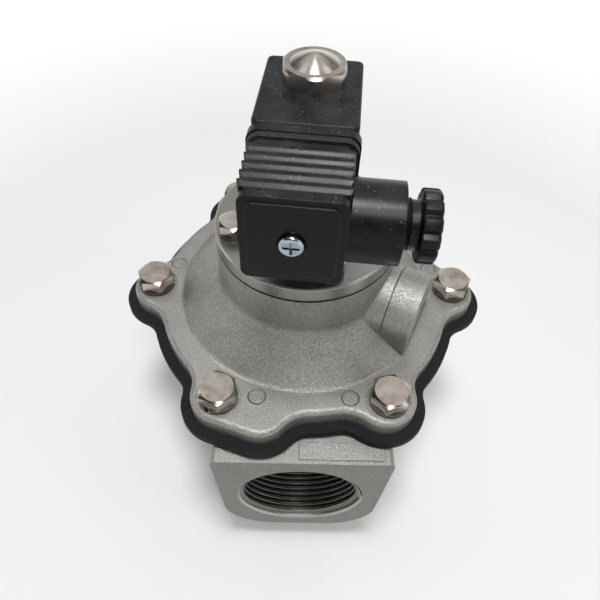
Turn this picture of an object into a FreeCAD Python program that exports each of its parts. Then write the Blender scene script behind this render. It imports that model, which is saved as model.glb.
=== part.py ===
import FreeCAD, Part
import math
import os
import re

import Sketcher
from FreeCAD import Placement, Rotation, Vector

# Right-angle diaphragm pulse valve with a coil on top.
# Origin at the centre of the outlet's face, +Z up the valve axis, inlet towards -Y.

SIZES = {
    # Valve body
    "inlet_height": 45.0,
    "inlet_reach": 73.1,
    "inlet_width": 66.5,
    "inlet_spread": 3.7,
    "inlet_above": 31.5,
    "inlet_below": 30.0,
    "inlet_corner": 20.0,
    "inlet_edge": 2.0,
    "label_pad_left": 1.1,
    "label_pad_right": 29.4,
    "label_pad_length": 6.4,
    "label_pad_setback": 1.6,
    "label_pad_raise": 0.6,
    "port_radius": 23.9,
    "port_thread_length": 22.0,
    "port_chamfer": 0.9,
    "passage_radius": 21.5,
    "outlet_boss_radius": 31.0,
    "outlet_boss_height": 14.0,
    "bowl_radius": 57.5,
    "bowl_shoulder": 32.0,
    "bowl_round": 10.0,
    "bowl_wall": 5.5,
    "chamber_floor": 22.0,
    "seat_wall": 5.5,
    "seat_top": 71.0,
    "seat_land": 2.5,
    "body_flange_top": 78.0,
    "body_flange_thick": 6.0,
    # Flange outline, six bolt lobes and one wide lobe
    "bolt_land": 4.3,
    "flange_land": 2.1,
    "lobe_radius": 12.0,
    "lobe_inset": 2.6,
    "lobe_blend": 13.0,
    "pad_land": 1.5,
    "pad_angle": 14.5,
    "pad_radius": 11.2,
    "rim_overhang": 4.0,
    "rim_thick": 3.0,
    "bonnet_flange_thick": 7.0,
    "flange_round": 2.0,
    # Fasteners
    "bolt_radius": 4.0,
    "bolt_flats": 13.0,
    "bolt_head": 5.3,
    "bolt_length": 22.0,
    "bolt_clearance": 0.5,
    "washer_radius": 7.3,
    "washer_thick": 2.1,
    "washer_split": 1.4,
    "spotface_radius": 8.2,
    "spotface_depth": 0.3,
    "mark_land": 2.0,
    "mark_radius": 3.15,
    "mark_depth": 0.25,
    "mark_angle": 12.2,
    "washer_split_angle": 30.0,
    "corner_ratio": 0.48,
    "corner_slope_angle": 60.0,
    "tip_chamfer_ratio": 0.2,
    # Bonnet
    "cone_land": 7.0,
    "cone_height": 12.5,
    "neck_radius": 34.4,
    "neck_height": 31.5,
    "cone_foot_land": 4.0,
    "cone_foot_round": 3.0,
    "cone_head_round": 7.0,
    "clamp_land": 7.5,
    "cavity_top_radius": 36.0,
    "cavity_depth": 9.0,
    "boss_angle": 24.6,
    "boss_reach": 48.8,
    "boss_radius": 15.3,
    "boss_axis_rise": 9.4,
    "boss_groove": 0.5,
    "boss_groove_reach": 38.0,
    "exhaust_radius": 4.0,
    "nozzle_radius": 8.0,
    "pilot_chamber_radius": 21.0,
    "pilot_chamber_depth": 7.0,
    "bleed_radius": 2.5,
    "bleed_circle": 15.0,
    # Main diaphragm
    "diaphragm_hole": 5.1,
    "diaphragm_flat_radius": 34.0,
    "backing_radius": 30.0,
    "backing_thick": 1.6,
    "hub_radius": 12.0,
    "hub_thick": 3.0,
    "stud_radius": 5.0,
    "hub_nut_flats": 16.0,
    "hub_nut_thick": 4.5,
    "spring_foot_radius": 22.0,
    "spring_head_radius": 13.0,
    "spring_wire": 0.9,
    "spring_turns": 3.5,
    # Pilot stage
    "pilot_rim_thick": 1.0,
    "plate_thick": 5.8,
    "plate_edge": 0.5,
    "plate_bolt_circle": 27.5,
    "plate_bolt_angle": 75.0,
    "plate_bolt_radius": 3.0,
    "plate_bolt_flats": 10.0,
    "plate_bolt_head": 4.1,
    "plate_bolt_length": 16.0,
    "plate_washer_radius": 5.6,
    "plate_washer_thick": 1.6,
    "plate_hub_radius": 14.0,
    "plate_hub_height": 7.0,
    "plate_cavity_radius": 20.0,
    "plate_cavity_depth": 3.6,
    "pilot_disc_radius": 9.0,
    "pilot_disc_thick": 1.2,
    "pilot_spring_radius": 6.0,
    "pilot_spring_wire": 0.35,
    "pilot_spring_turns": 1.5,
    "orifice_radius": 1.2,
    "orifice_nozzle_radius": 3.2,
    "orifice_rise": 2.0,
    "socket_radius": 9.5,
    "socket_floor": 2.4,
    "ring_wire": 0.9,
    # Armature tube, core and plunger
    "tube_radius": 7.0,
    "tube_wall": 1.0,
    "tube_flats": 24.0,
    "tube_hex_height": 7.0,
    "tube_collar_radius": 10.0,
    "tube_collar_height": 4.8,
    "core_gap": 1.5,
    "core_drop": 6.8,
    "core_flange_thick": 2.0,
    "core_stud_radius": 4.0,
    "plunger_length": 28.0,
    "plunger_clearance": 0.08,
    "plunger_bore": 3.0,
    "plunger_bore_depth": 10.0,
    "plunger_spring_wire": 0.42,
    "plunger_spring_turns": 6.0,
    "plunger_spring_ease": 0.2,
    "seal_radius": 3.5,
    "seal_thick": 2.9,
    "seal_stand": 0.8,
    "fit_clearance": 0.05,
    # Coil
    "coil_angle": 5.5,
    "head_shift": 0.5,
    "coil_width": 30.1,
    "coil_front": 24.0,
    "coil_rear": 13.0,
    "coil_height": 38.0,
    "coil_corner": 2.0,
    "coil_edge": 1.0,
    "coil_bore": 7.3,
    "winding_inner": 8.6,
    "winding_outer": 11.8,
    "winding_height": 28.0,
    "pedestal_width": 31.8,
    "pedestal_height": 31.0,
    "pedestal_thick": 3.4,
    "pedestal_corner": 4.0,
    "pedestal_drop": 0.3,
    "screw_thread_depth": 9.4,
    # Dome nut
    "nut_flats": 18.6,
    "nut_corner_radius": 9.85,
    "nut_height": 5.4,
    "nut_chamfer": 0.5,
    "nut_chamfer_reach": 0.8,
    "dome_radius": 7.4,
    "dome_rise": 2.8,
    # Connector
    "gasket_thick": 2.4,
    "gasket_inset": 0.4,
    "connector_width": 27.9,
    "connector_height": 29.0,
    "connector_depth": 24.2,
    "connector_corner": 2.5,
    "panel_inset": 2.0,
    "panel_step": 0.5,
    "panel_corner": 1.8,
    "connector_cavity_width": 21.0,
    "connector_cavity_height": 22.0,
    "connector_cavity_depth": 16.0,
    "rib_pitch": 3.62,
    "rib_first": 4.8,
    "rib_width": 1.4,
    "rib_height": 0.5,
    "rib_side": 0.35,
    "blade_spread": 9.0,
    "blade_width": 6.3,
    "blade_thick": 0.8,
    "blade_length": 14.0,
    "blade_embed": 4.0,
    "screw_head_radius": 3.45,
    "screw_head_height": 2.6,
    "screw_head_stand": 1.8,
    "screw_head_round": 1.0,
    "screw_seat_ease": 0.4,
    "screw_radius": 1.5,
    "screw_slot": 0.8,
    "screw_slot_length": 4.5,
    "screw_slot_depth": 1.3,
    "screw_angle": 35.0,
    # Cable gland on the connector's right side
    "gland_forward": 11.8,
    "gland_drop": 1.1,
    "barrel_radius": 11.55,
    "barrel_reach": 27.9,
    "gland_thread_radius": 7.4,
    "gland_neck_radius": 6.9,
    "gland_thread_show": 1.9,
    "gland_neck_length": 2.5,
    "seal_inset": 0.35,
    "gland_head_radius": 10.2,
    "gland_head_length": 5.1,
    "gland_head_chamfer": 1.0,
    "gland_notch_radius": 1.3,
    "gland_notch_rise": 0.4,
    "cable_radius": 4.5,
    "seal_grip": 0.4,
    "washer_ease": 0.3,
    "washer_gland_thick": 0.8,
    "seal_gland_length": 6.4,
}

# Heights and lengths that follow from the sizes above
DERIVED = {
    "inlet_top": "inlet_height + inlet_above",
    "inlet_bottom": "inlet_height - inlet_below",
    "half_inlet": "inlet_width / 2",
    "half_inlet_low": "half_inlet - inlet_spread",
    "port_mouth_radius": "port_radius + port_chamfer",
    "seat_outer": "passage_radius + seat_wall",
    "seat_edge": "passage_radius + seat_land",
    "seat_shoulder": "seat_top - seat_land",
    "chamber_radius": "bowl_radius - bowl_wall",
    "chamber_slope_top": "bowl_shoulder + bowl_wall",
    "chamber_floor_radius": "seat_outer + bowl_wall",
    "body_flange_bottom": "body_flange_top - body_flange_thick",
    "bolt_circle": "bowl_radius + bolt_land",
    "lobe_circle": "bolt_circle - lobe_inset",
    "flange_radius": "bowl_radius + flange_land",
    "pad_circle": "bowl_radius + pad_land",
    "mark_circle": "bowl_radius - mark_land",
    "cone_foot_radius": "bowl_radius - cone_land",
    "cavity_radius": "bowl_radius - clamp_land",
    "rim_top": "body_flange_top + rim_thick",
    "bonnet_flange_top": "rim_top + bonnet_flange_thick",
    "head_seat": "bonnet_flange_top - spotface_depth",
    "cone_top": "bonnet_flange_top + cone_height",
    "cone_foot_outer": "cone_foot_radius + cone_foot_land",
    "neck_top": "bonnet_flange_top + neck_height",
    "cavity_top": "rim_top + cavity_depth",
    "boss_axis": "bonnet_flange_top + boss_axis_rise",
    "pilot_chamber_floor": "neck_top - pilot_chamber_depth",
    "flat_top": "seat_top + rim_thick",
    "backing_top": "flat_top + backing_thick",
    "hub_bottom": "seat_top - hub_thick",
    "stud_top": "backing_top + hub_nut_thick",
    "pilot_rim_top": "neck_top + pilot_rim_thick",
    "plate_top": "pilot_rim_top + plate_thick",
    "plate_bolt_hole": "plate_bolt_radius + bolt_clearance / 2",
    "plate_rim": "neck_radius - plate_edge",
    "plate_edge_height": "plate_top - plate_edge",
    "plate_hub_top": "plate_top + plate_hub_height",
    "plate_cavity_top": "pilot_rim_top + plate_cavity_depth",
    "socket_bottom": "plate_cavity_top + socket_floor",
    "orifice_top": "socket_bottom + orifice_rise",
    "pilot_disc_top": "pilot_rim_top + pilot_disc_thick",
    "spigot_radius": "socket_radius - fit_clearance",
    "spigot_bottom": "socket_bottom + 2 * ring_wire",
    "tube_bore": "tube_radius - tube_wall",
    "tube_hex_top": "plate_hub_top + tube_hex_height",
    "coil_bottom": "tube_hex_top + tube_collar_height",
    "coil_top": "coil_bottom + coil_height",
    "plunger_radius": "tube_bore - plunger_clearance",
    "plunger_bottom": "orifice_top + seal_stand",
    "plunger_top": "plunger_bottom + plunger_length",
    "plunger_bore_floor": "plunger_top - plunger_bore_depth",
    "seal_top": "orifice_top + seal_thick",
    "seal_pocket_radius": "seal_radius + fit_clearance",
    "core_bottom": "plunger_top + core_gap + 2 * fit_clearance",
    "core_radius": "tube_bore - fit_clearance",
    "tube_top": "coil_top - core_drop",
    "core_flange_top": "tube_top + core_flange_thick",
    "winding_bottom": "coil_bottom + (coil_height - winding_height) / 2",
    "winding_top": "winding_bottom + winding_height",
    "nut_top": "coil_top + nut_height",
    "stud_end": "nut_top - tube_wall",
    "nut_bore": "core_stud_radius + fit_clearance",
    "nut_blind_top": "nut_top - nut_chamfer",
    "head_centre": "coil_top - pedestal_height / 2 - pedestal_drop",
    "pedestal_front": "coil_front + pedestal_thick",
    "gasket_front": "pedestal_front + gasket_thick",
    "connector_front": "gasket_front + connector_depth",
    "half_connector": "connector_width / 2",
    "gland_axis_forward": "gasket_front + gland_forward",
    "gland_axis_height": "head_centre - gland_drop",
    "barrel_bore": "gland_thread_radius + fit_clearance",
    "thread_end": "barrel_reach + gland_thread_show",
    "head_start": "thread_end + gland_neck_length",
    "head_end": "head_start + gland_head_length",
    "gland_seal_start": "half_connector - seal_inset",
    "gland_washer_start": "gland_seal_start + seal_gland_length",
    "thread_start": "gland_washer_start + washer_gland_thick",
    "bolt_hole": "bolt_radius + bolt_clearance",
    "bolt_hole_bottom": "head_seat + washer_thick - bolt_length - bolt_clearance",
    "tap_radius": "bolt_radius + fit_clearance",
}

BOLT_ANGLES = (30, 90, 150, 210, 270, 330)
BOLT_TURNS = (16, 3, 41, 22, 52, 35)
WASHER_TURNS = (112, 21, 287, 154, 4, 245)
MARK_SIDES = (-1, 1, -1, 1, -1, 1)
WIDE_LOBE_AT = 330
BLEED_ANGLES = (45, 135, 225, 315)
PLATE_BOLTS = 4
PLATE_BOLT_TURNS = (95, 5, 275, 185)
PLATE_WASHER_TURNS = (25, 115, 205, 295)
RIB_COUNT = 5
GLAND_NOTCHES = 12
COIL_STEPS = 16
CLOSE = 1e-4

doc = FreeCAD.newDocument("pulse_valve")
sheet = doc.addObject("Spreadsheet::Sheet", "sizes")
nodes = []


def fill_sheet():
    """Write each size and each derived formula to a row with its name."""
    rows = [(name, str(value)) for name, value in SIZES.items()]
    rows += [(name, "=" + formula) for name, formula in DERIVED.items()]
    for row, (name, content) in enumerate(rows, start=1):
        sheet.set(f"A{row}", name)
        sheet.set(f"B{row}", content)
        sheet.setAlias(f"B{row}", name)
    doc.recompute()


def get(name):
    """Value of a named size."""
    return float(sheet.get(name))


def linked(formula):
    """The formula with each size's name pointing at the sheet."""
    words = set(re.findall(r"[a-z_]+", formula))
    for word in words & (SIZES.keys() | DERIVED.keys()):
        formula = re.sub(rf"(?<![a-z_.]){word}(?![a-z_])", "sizes." + word, formula)
    return formula


def bind(item, **formulas):
    """Tie properties of a document object to formulas of sizes."""
    paths = {"x": "Placement.Base.x", "y": "Placement.Base.y", "z": "Placement.Base.z"}
    for prop, formula in formulas.items():
        item.setExpression(paths.get(prop, prop), linked(formula))
    return item


def cylinder(name, **formulas):
    return bind(doc.addObject("Part::Cylinder", name), **formulas)


def box(name, **formulas):
    return bind(doc.addObject("Part::Box", name), **formulas)


def fused(name, *pieces):
    item = doc.addObject("Part::MultiFuse", name)
    item.Shapes = list(pieces)
    return item


def cut(name, base, *tools):
    """Base minus every tool."""
    item = doc.addObject("Part::Cut", name)
    item.Base = base
    item.Tool = tools[0] if len(tools) == 1 else fused(name + "_tools", *tools)
    return item


def node(item, label, placement=None):
    """Mark a document object as one finished piece."""
    item.Label = label
    if placement is not None:
        item.Placement = placement
    nodes.append(item)
    return item


def feature(label, shape):
    """A piece whose shape is computed here from the sheet's sizes."""
    item = doc.addObject("Part::Feature", label + "_shape")
    item.Shape = shape
    return item


def attach(sketch, body, role):
    plane = next(item for item in body.Origin.OriginFeatures if item.Role == role)
    sketch.AttachmentSupport = (plane, "")
    sketch.MapMode = "FlatFace"


def vertex_constraints(sketch, index, point):
    """Hold the start of line number index at a named radius and height."""
    radius, height = point
    if radius == "axis":
        sketch.addConstraint(Sketcher.Constraint("PointOnObject", index, 1, -2))
    else:
        across = Sketcher.Constraint("DistanceX", -1, 1, index, 1, get(radius))
        sketch.renameConstraint(sketch.addConstraint(across), f"r{index}_across")
        sketch.setExpression(f"Constraints.r{index}_across", linked(radius))
    if height == "face":
        sketch.addConstraint(Sketcher.Constraint("PointOnObject", index, 1, -1))
    else:
        up = Sketcher.Constraint("DistanceY", -1, 1, index, 1, get(height))
        sketch.renameConstraint(sketch.addConstraint(up), f"r{index}_up")
        sketch.setExpression(f"Constraints.r{index}_up", linked(height))


def turned(name, points, rounds=()):
    """Body turned about Z from (radius, height) names; rounds are (radius, height, fillet) names."""
    body = doc.addObject("PartDesign::Body", name)
    sketch = body.newObject("Sketcher::SketchObject", name + "_profile")
    attach(sketch, body, "XZ_Plane")
    spots = []
    for radius, height in points:
        across = 0.0 if radius == "axis" else get(radius)
        up = 0.0 if height == "face" else get(height)
        spots.append(Vector(across, up, 0))
    count = len(spots)
    for index, spot in enumerate(spots):
        sketch.addGeometry(Part.LineSegment(spot, spots[(index + 1) % count]), False)
    for index in range(count):
        sketch.addConstraint(Sketcher.Constraint("Coincident", index, 2, (index + 1) % count, 1))
    for index, point in enumerate(points):
        vertex_constraints(sketch, index, point)
    turn = body.newObject("PartDesign::Revolution", name + "_turn")
    turn.Profile = sketch
    turn.ReferenceAxis = (sketch, ["V_Axis"])
    turn.Angle = 360
    body.Tip = turn
    doc.recompute()
    for number, (radius, height, size) in enumerate(rounds):
        base = body.Tip
        edges = ring_edges(base.Shape, get(radius), get(height))
        fillet = body.newObject("PartDesign::Fillet", f"{name}_round_{number}")
        fillet.Base = (base, edges)
        fillet.setExpression("Radius", linked(size))
        body.Tip = fillet
        doc.recompute()
    return body


def ring_edges(shape, radius, height):
    """Names of the circular edges of a turned shape at a radius and a height."""
    names = []
    for index, edge in enumerate(shape.Edges, start=1):
        curve = edge.Curve
        if not isinstance(curve, Part.Circle):
            continue
        if abs(curve.Center.z - height) < CLOSE and abs(curve.Radius - radius) < CLOSE:
            names.append(f"Edge{index}")
    return names


def polar(radius, angle, height=0.0):
    """Point at an angle from -Y towards +X, in degrees."""
    turn = math.radians(angle)
    return Vector(radius * math.sin(turn), -radius * math.cos(turn), height)


def arc_between(centre, start, end, outward):
    """Arc about a centre from start to end through the side that outward points to."""
    radius = (start - centre).Length
    middle = centre + Vector(outward).normalize() * radius
    return Part.Arc(start, middle, end).toShape()


def blend_turn(outer, lobe_at, lobe, blend):
    """Angle from a lobe's centre line to the centre of the blend beside it."""
    near = outer + blend
    far = lobe + blend
    return math.degrees(math.acos((near**2 + lobe_at**2 - far**2) / (2 * near * lobe_at)))


def lobe_outline(grow):
    """Closed wire at height zero round the flange, with its six lobes and the wide one."""
    outer = get("flange_radius") + grow
    lobe = get("lobe_radius") + grow
    pad = get("pad_radius") + grow
    blend = get("lobe_blend") - grow
    ring = get("lobe_circle")
    swing = blend_turn(outer, ring, lobe, blend)
    pad_at = WIDE_LOBE_AT + get("pad_angle")
    pad_swing = blend_turn(outer, get("pad_circle"), pad, blend)
    edges = []
    start = None
    first = None
    for angle in BOLT_ANGLES:
        centre = polar(ring, angle)
        left = polar(outer + blend, angle - swing)
        enter = polar(outer, angle - swing)
        on_lobe = centre + (left - centre).normalize() * lobe
        if start is not None:
            middle = (start[1] + angle - swing) / 2
            edges.append(Part.Arc(start[0], polar(outer, middle), enter).toShape())
        else:
            first = (enter, angle - swing)
        edges.append(arc_between(left, enter, on_lobe, centre - left + (enter - left)))
        if angle == WIDE_LOBE_AT:
            wide = polar(get("pad_circle"), pad_at)
            across = wide - centre
            tilt = math.acos((lobe - pad) / across.Length)
            normal = Rotation(Vector(0, 0, 1), -math.degrees(tilt)).multVec(across).normalize()
            leave_lobe = centre + normal * lobe
            reach_pad = wide + normal * pad
            side = on_lobe + leave_lobe - centre * 2
            edges.append(arc_between(centre, on_lobe, leave_lobe, side))
            edges.append(Part.LineSegment(leave_lobe, reach_pad).toShape())
            right = polar(outer + blend, pad_at + pad_swing)
            off_lobe = wide + (right - wide).normalize() * pad
            leave = polar(outer, pad_at + pad_swing)
            edges.append(arc_between(wide, reach_pad, off_lobe, reach_pad + off_lobe - wide * 2))
            edges.append(arc_between(right, off_lobe, leave, wide - right + (leave - right)))
            start = (leave, pad_at + pad_swing)
            continue
        right = polar(outer + blend, angle + swing)
        off_lobe = centre + (right - centre).normalize() * lobe
        leave = polar(outer, angle + swing)
        edges.append(arc_between(centre, on_lobe, off_lobe, centre))
        edges.append(arc_between(right, off_lobe, leave, centre - right + (leave - right)))
        start = (leave, angle + swing)
    middle = (start[1] + first[1] + 360) / 2
    edges.append(Part.Arc(start[0], polar(outer, middle), first[0]).toShape())
    return Part.Wire(edges)


def flange_slab(grow, bottom, thick):
    """Lobed slab from bottom upward."""
    face = Part.Face(lobe_outline(grow))
    slab = face.extrude(Vector(0, 0, thick))
    slab.translate(Vector(0, 0, bottom))
    return slab


def top_edges(shape, height):
    """Edges that lie wholly at a height."""
    return [edge for edge in shape.Edges
            if abs(edge.BoundBox.ZMin - height) < CLOSE and abs(edge.BoundBox.ZMax - height) < CLOSE]


def bolt_holes(radius, bottom, top):
    """Six upright cylinders on the bolt circle."""
    return [Part.makeCylinder(radius, top - bottom, polar(get("bolt_circle"), angle, bottom))
            for angle in BOLT_ANGLES]


def on_plate(radius, bottom, height):
    """Upright cylinders at the pilot plate's bolts."""
    return [Part.makeCylinder(radius, height, spot) for spot in plate_spots(bottom)]


def plate_spots(height):
    """Points at a height on the axes of the pilot plate's bolts."""
    first = -get("plate_bolt_angle")
    return [polar(get("plate_bolt_circle"), first + index * 360 / PLATE_BOLTS, height)
            for index in range(PLATE_BOLTS)]


def along(angle):
    """Level direction at an angle from +X towards -Y."""
    turn = math.radians(angle)
    return Vector(math.cos(turn), -math.sin(turn), 0)


def valve_body():
    """Cast body: inlet block, round bowl, outlet tube with the seat, lobed flange."""
    bowl = turned("bowl", [("axis", "face"), ("outlet_boss_radius", "face"),
                           ("outlet_boss_radius", "outlet_boss_height"),
                           ("bowl_radius", "bowl_shoulder"),
                           ("bowl_radius", "body_flange_top"), ("axis", "body_flange_top")],
                  [("bowl_radius", "bowl_shoulder", "bowl_round")])
    block = bind(doc.addObject("Part::Wedge", "block"), Xmin="-half_inlet_low", Xmax="half_inlet_low",
                 X2min="-half_inlet", X2max="half_inlet", Ymin="inlet_bottom", Ymax="inlet_top",
                 Zmax="inlet_reach", Z2max="inlet_reach")
    block.Zmin = 0
    block.Z2min = 0
    block.Placement.Rotation = Rotation(Vector(1, 0, 0), 90)
    doc.recompute()
    soft = doc.addObject("Part::Fillet", "block_rounded")
    soft.Base = block
    bottom_edges = []
    upper_edges = []
    for index, edge in enumerate(block.Shape.Edges, start=1):
        if edge.BoundBox.YLength < 1:
            continue
        low = edge.BoundBox.ZMin < get("inlet_height")
        (bottom_edges if low else upper_edges).append(index)
    corner = get("inlet_corner")
    edge_size = get("inlet_edge")
    soft.Edges = ([(index, corner, corner) for index in bottom_edges]
                  + [(index, edge_size, edge_size) for index in upper_edges])
    pad = box("label_pad", Length="label_pad_right + label_pad_left", Width="label_pad_length",
              Height="2 * label_pad_raise", x="-label_pad_left",
              y="-inlet_reach + label_pad_setback", z="inlet_top - label_pad_raise")
    slab = feature("body_flange", body_flange_shape())
    chamber = turned("chamber", [("seat_outer", "chamber_floor"),
                                 ("chamber_floor_radius", "chamber_floor"),
                                 ("chamber_radius", "chamber_slope_top"),
                                 ("chamber_radius", "body_flange_top"), ("axis", "body_flange_top"),
                                 ("axis", "seat_top"), ("seat_edge", "seat_top"),
                                 ("seat_outer", "seat_shoulder")])
    outlet = cylinder("outlet_passage", Radius="passage_radius", Height="body_flange_top")
    thread = cylinder("outlet_thread", Radius="port_radius", Height="port_thread_length")
    lie = Rotation(Vector(1, 0, 0), 90)
    inlet = cylinder("inlet_passage", Radius="passage_radius",
                     Height="inlet_reach - chamber_floor_radius",
                     y="-chamber_floor_radius", z="inlet_height")
    inlet.Placement.Rotation = lie
    inlet_thread = cylinder("inlet_thread", Radius="port_radius", Height="port_thread_length",
                            y="port_thread_length - inlet_reach", z="inlet_height")
    inlet_thread.Placement.Rotation = lie
    mouth = doc.addObject("Part::Cone", "inlet_mouth")
    bind(mouth, Radius1="port_radius", Radius2="port_mouth_radius", Height="port_chamfer",
         y="port_chamfer - inlet_reach", z="inlet_height")
    mouth.Placement.Rotation = lie
    tapped = bolt_holes(get("tap_radius"), get("bolt_hole_bottom"), get("body_flange_top"))
    taps = feature("tapped_holes", Part.makeCompound(tapped))
    solid = fused("body_solid", bowl, soft, pad, slab)
    doc.recompute()
    node(cut("valve_body_cut", solid, chamber, outlet, thread, inlet, inlet_thread, mouth, taps),
         "valve_body")


def body_flange_shape():
    """Body's lobed flange, open over the chamber."""
    slab = flange_slab(0.0, get("body_flange_bottom"), get("body_flange_thick"))
    core = Part.makeCylinder(get("chamber_radius"), get("body_flange_thick"),
                             Vector(0, 0, get("body_flange_bottom")))
    return slab.cut(core)


def bonnet():
    """Cast bonnet: lobed flange, cone, neck and the exhaust boss."""
    shell = turned("bonnet_shell", [("axis", "rim_top"), ("cone_foot_outer", "rim_top"),
                                    ("cone_foot_outer", "bonnet_flange_top"),
                                    ("cone_foot_radius", "bonnet_flange_top"), ("neck_radius", "cone_top"),
                                    ("neck_radius", "neck_top"), ("axis", "neck_top")],
                   [("neck_radius", "cone_top", "cone_head_round"),
                    ("cone_foot_radius", "bonnet_flange_top", "cone_foot_round")])
    cavity = turned("bonnet_cavity", [("axis", "rim_top"), ("cavity_radius", "rim_top"),
                                      ("cavity_top_radius", "cavity_top"), ("axis", "cavity_top")])
    ring = turned("pilot_chamber", [("nozzle_radius", "pilot_chamber_floor"),
                                    ("pilot_chamber_radius", "pilot_chamber_floor"),
                                    ("pilot_chamber_radius", "neck_top"), ("nozzle_radius", "neck_top")])
    flange = feature("bonnet_flange", bonnet_flange_shape())
    boss = feature("exhaust_boss", boss_shape())
    passages = feature("exhaust_passages", passage_shape())
    details = feature("flange_details", flange_details())
    solid = fused("bonnet_solid", shell, flange, boss)
    solid.Refine = True
    doc.recompute()
    node(cut("bonnet_cut", solid, cavity, ring, passages, details), "bonnet")


def bonnet_flange_shape():
    """Lobed slab with its upper edge rounded."""
    slab = flange_slab(0.0, get("rim_top"), get("bonnet_flange_thick"))
    return slab.makeFillet(get("flange_round"), top_edges(slab, get("bonnet_flange_top")))


def boss_shape():
    """Boss with a round top and straight sides, with a groove near the neck."""
    direction = along(get("boss_angle"))
    across = Vector(-direction.y, direction.x, 0)
    radius = get("boss_radius")
    inner = get("nozzle_radius")
    length = get("boss_reach") - inner
    foot = get("bonnet_flange_top") - get("flange_round")
    start = direction * inner
    round_top = Part.makeCylinder(radius, length, start + Vector(0, 0, get("boss_axis")), direction)
    corner = start - across * radius + Vector(0, 0, foot)
    sides = Part.makeBox(length, 2 * radius, get("boss_axis") - foot, corner, Vector(0, 0, 1))
    sides.rotate(corner, Vector(0, 0, 1), -get("boss_angle"))
    solid = round_top.fuse(sides)
    width = get("boss_groove")
    middle = direction * get("boss_groove_reach") + Vector(0, 0, get("boss_axis"))
    groove = Part.makeCylinder(radius + width, width, middle, direction)
    groove = groove.cut(Part.makeCylinder(radius - width, width, middle, direction))
    upper = Part.makeBox(4 * radius, 4 * radius, 2 * radius,
                         middle - Vector(2 * radius, 2 * radius, 0))
    return solid.cut(groove.common(upper)).removeSplitter()


def passage_shape():
    """Exhaust duct from the pilot nozzle to the boss, and the bleed holes."""
    direction = along(get("boss_angle"))
    duct_radius = get("exhaust_radius")
    axis = Vector(0, 0, get("boss_axis"))
    down = Part.makeCylinder(duct_radius, get("neck_top") - get("boss_axis"), axis)
    duct = Part.makeCylinder(duct_radius, get("boss_reach"), axis, direction)
    elbow = Part.makeSphere(duct_radius, axis)
    tools = [down, duct, elbow]
    bleed_length = get("pilot_chamber_floor") - get("cavity_top")
    for step in BLEED_ANGLES:
        place = along(get("boss_angle") + step) * get("bleed_circle")
        place.z = get("cavity_top")
        tools.append(Part.makeCylinder(get("bleed_radius"), bleed_length, place))
    thread = get("plate_bolt_radius") + get("fit_clearance")
    depth = get("plate_bolt_length") - get("plate_thick") - get("pilot_rim_thick")
    tools += on_plate(thread, get("neck_top") - depth, depth)
    return tools[0].multiFuse(tools[1:])


def flange_details():
    """Bolt holes, spot faces, round casting marks and the flat in front of the boss."""
    top = get("bonnet_flange_top")
    tools = bolt_holes(get("bolt_hole"), get("rim_top"), top)
    for angle, side in zip(BOLT_ANGLES, MARK_SIDES):
        seat = polar(get("bolt_circle"), angle, get("head_seat"))
        tools.append(Part.makeCylinder(get("spotface_radius"), get("spotface_depth"), seat))
        mark = polar(get("mark_circle"), angle + side * get("mark_angle"), top - get("mark_depth"))
        tools.append(Part.makeCylinder(get("mark_radius"), get("mark_depth"), mark))
    direction = along(get("boss_angle"))
    across = Vector(-direction.y, direction.x, 0)
    half = get("boss_radius")
    corner = direction * get("boss_reach") - across * half + Vector(0, 0, top)
    front = Part.makeBox(half, 2 * half, get("cone_height"), corner)
    front.rotate(corner, Vector(0, 0, 1), -get("boss_angle"))
    return tools[0].multiFuse(tools[1:] + [front])


def main_diaphragm():
    """Rubber diaphragm: flat middle on the seat, sloping wall and lobed rim between the flanges."""
    middle = turned("diaphragm_middle", [("diaphragm_hole", "seat_top"),
                                         ("diaphragm_flat_radius", "seat_top"),
                                         ("cavity_radius", "body_flange_top"), ("cavity_radius", "rim_top"),
                                         ("diaphragm_flat_radius", "flat_top"),
                                         ("diaphragm_hole", "flat_top")])
    slab = flange_slab(get("rim_overhang"), get("body_flange_top"), get("rim_thick"))
    inner = Part.makeCylinder(get("cavity_radius") - CLOSE, get("rim_thick"),
                              Vector(0, 0, get("body_flange_top")))
    holes = bolt_holes(get("bolt_hole"), get("body_flange_top"), get("rim_top"))
    rim = feature("diaphragm_rim", slab.cut([inner] + holes))
    node(fused("diaphragm_whole", middle, rim), "main_diaphragm")


def moving_disc():
    """Backing plate, hub with its stud, and the nut that holds them to the diaphragm."""
    hole = "diaphragm_hole"
    node(turned("backing", [(hole, "flat_top"), ("backing_radius", "flat_top"),
                            ("backing_radius", "backing_top"), (hole, "backing_top")]), "diaphragm_plate")
    node(turned("hub", [("axis", "hub_bottom"), ("hub_radius", "hub_bottom"), ("hub_radius", "seat_top"),
                        ("stud_radius", "seat_top"), ("stud_radius", "stud_top"), ("axis", "stud_top")]),
         "diaphragm_hub")
    blank = hexagon(get("hub_nut_flats"), get("hub_nut_thick"))
    blank = blank.cut(Part.makeCylinder(get("stud_radius") + get("fit_clearance"), get("hub_nut_thick")))
    blank.translate(Vector(0, 0, get("backing_top")))
    node(feature("hub_nut", blank), "hub_nut")


def six_sided(flats, height):
    """Upright prism with six sides."""
    corner = Vector(flats / 2 / math.cos(math.pi / 6), 0, 0)
    points = [Rotation(Vector(0, 0, 1), turn).multVec(corner) for turn in range(0, 361, 60)]
    return Part.Face(Part.makePolygon(points)).extrude(Vector(0, 0, height))


def hexagon(flats, height):
    """Six-sided prism whose upper corners are turned to a slope."""
    turn_radius = get("corner_ratio") * flats
    spread = height * math.tan(math.radians(get("corner_slope_angle")))
    return six_sided(flats, height).common(Part.makeCone(turn_radius + spread, turn_radius, height))


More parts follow.
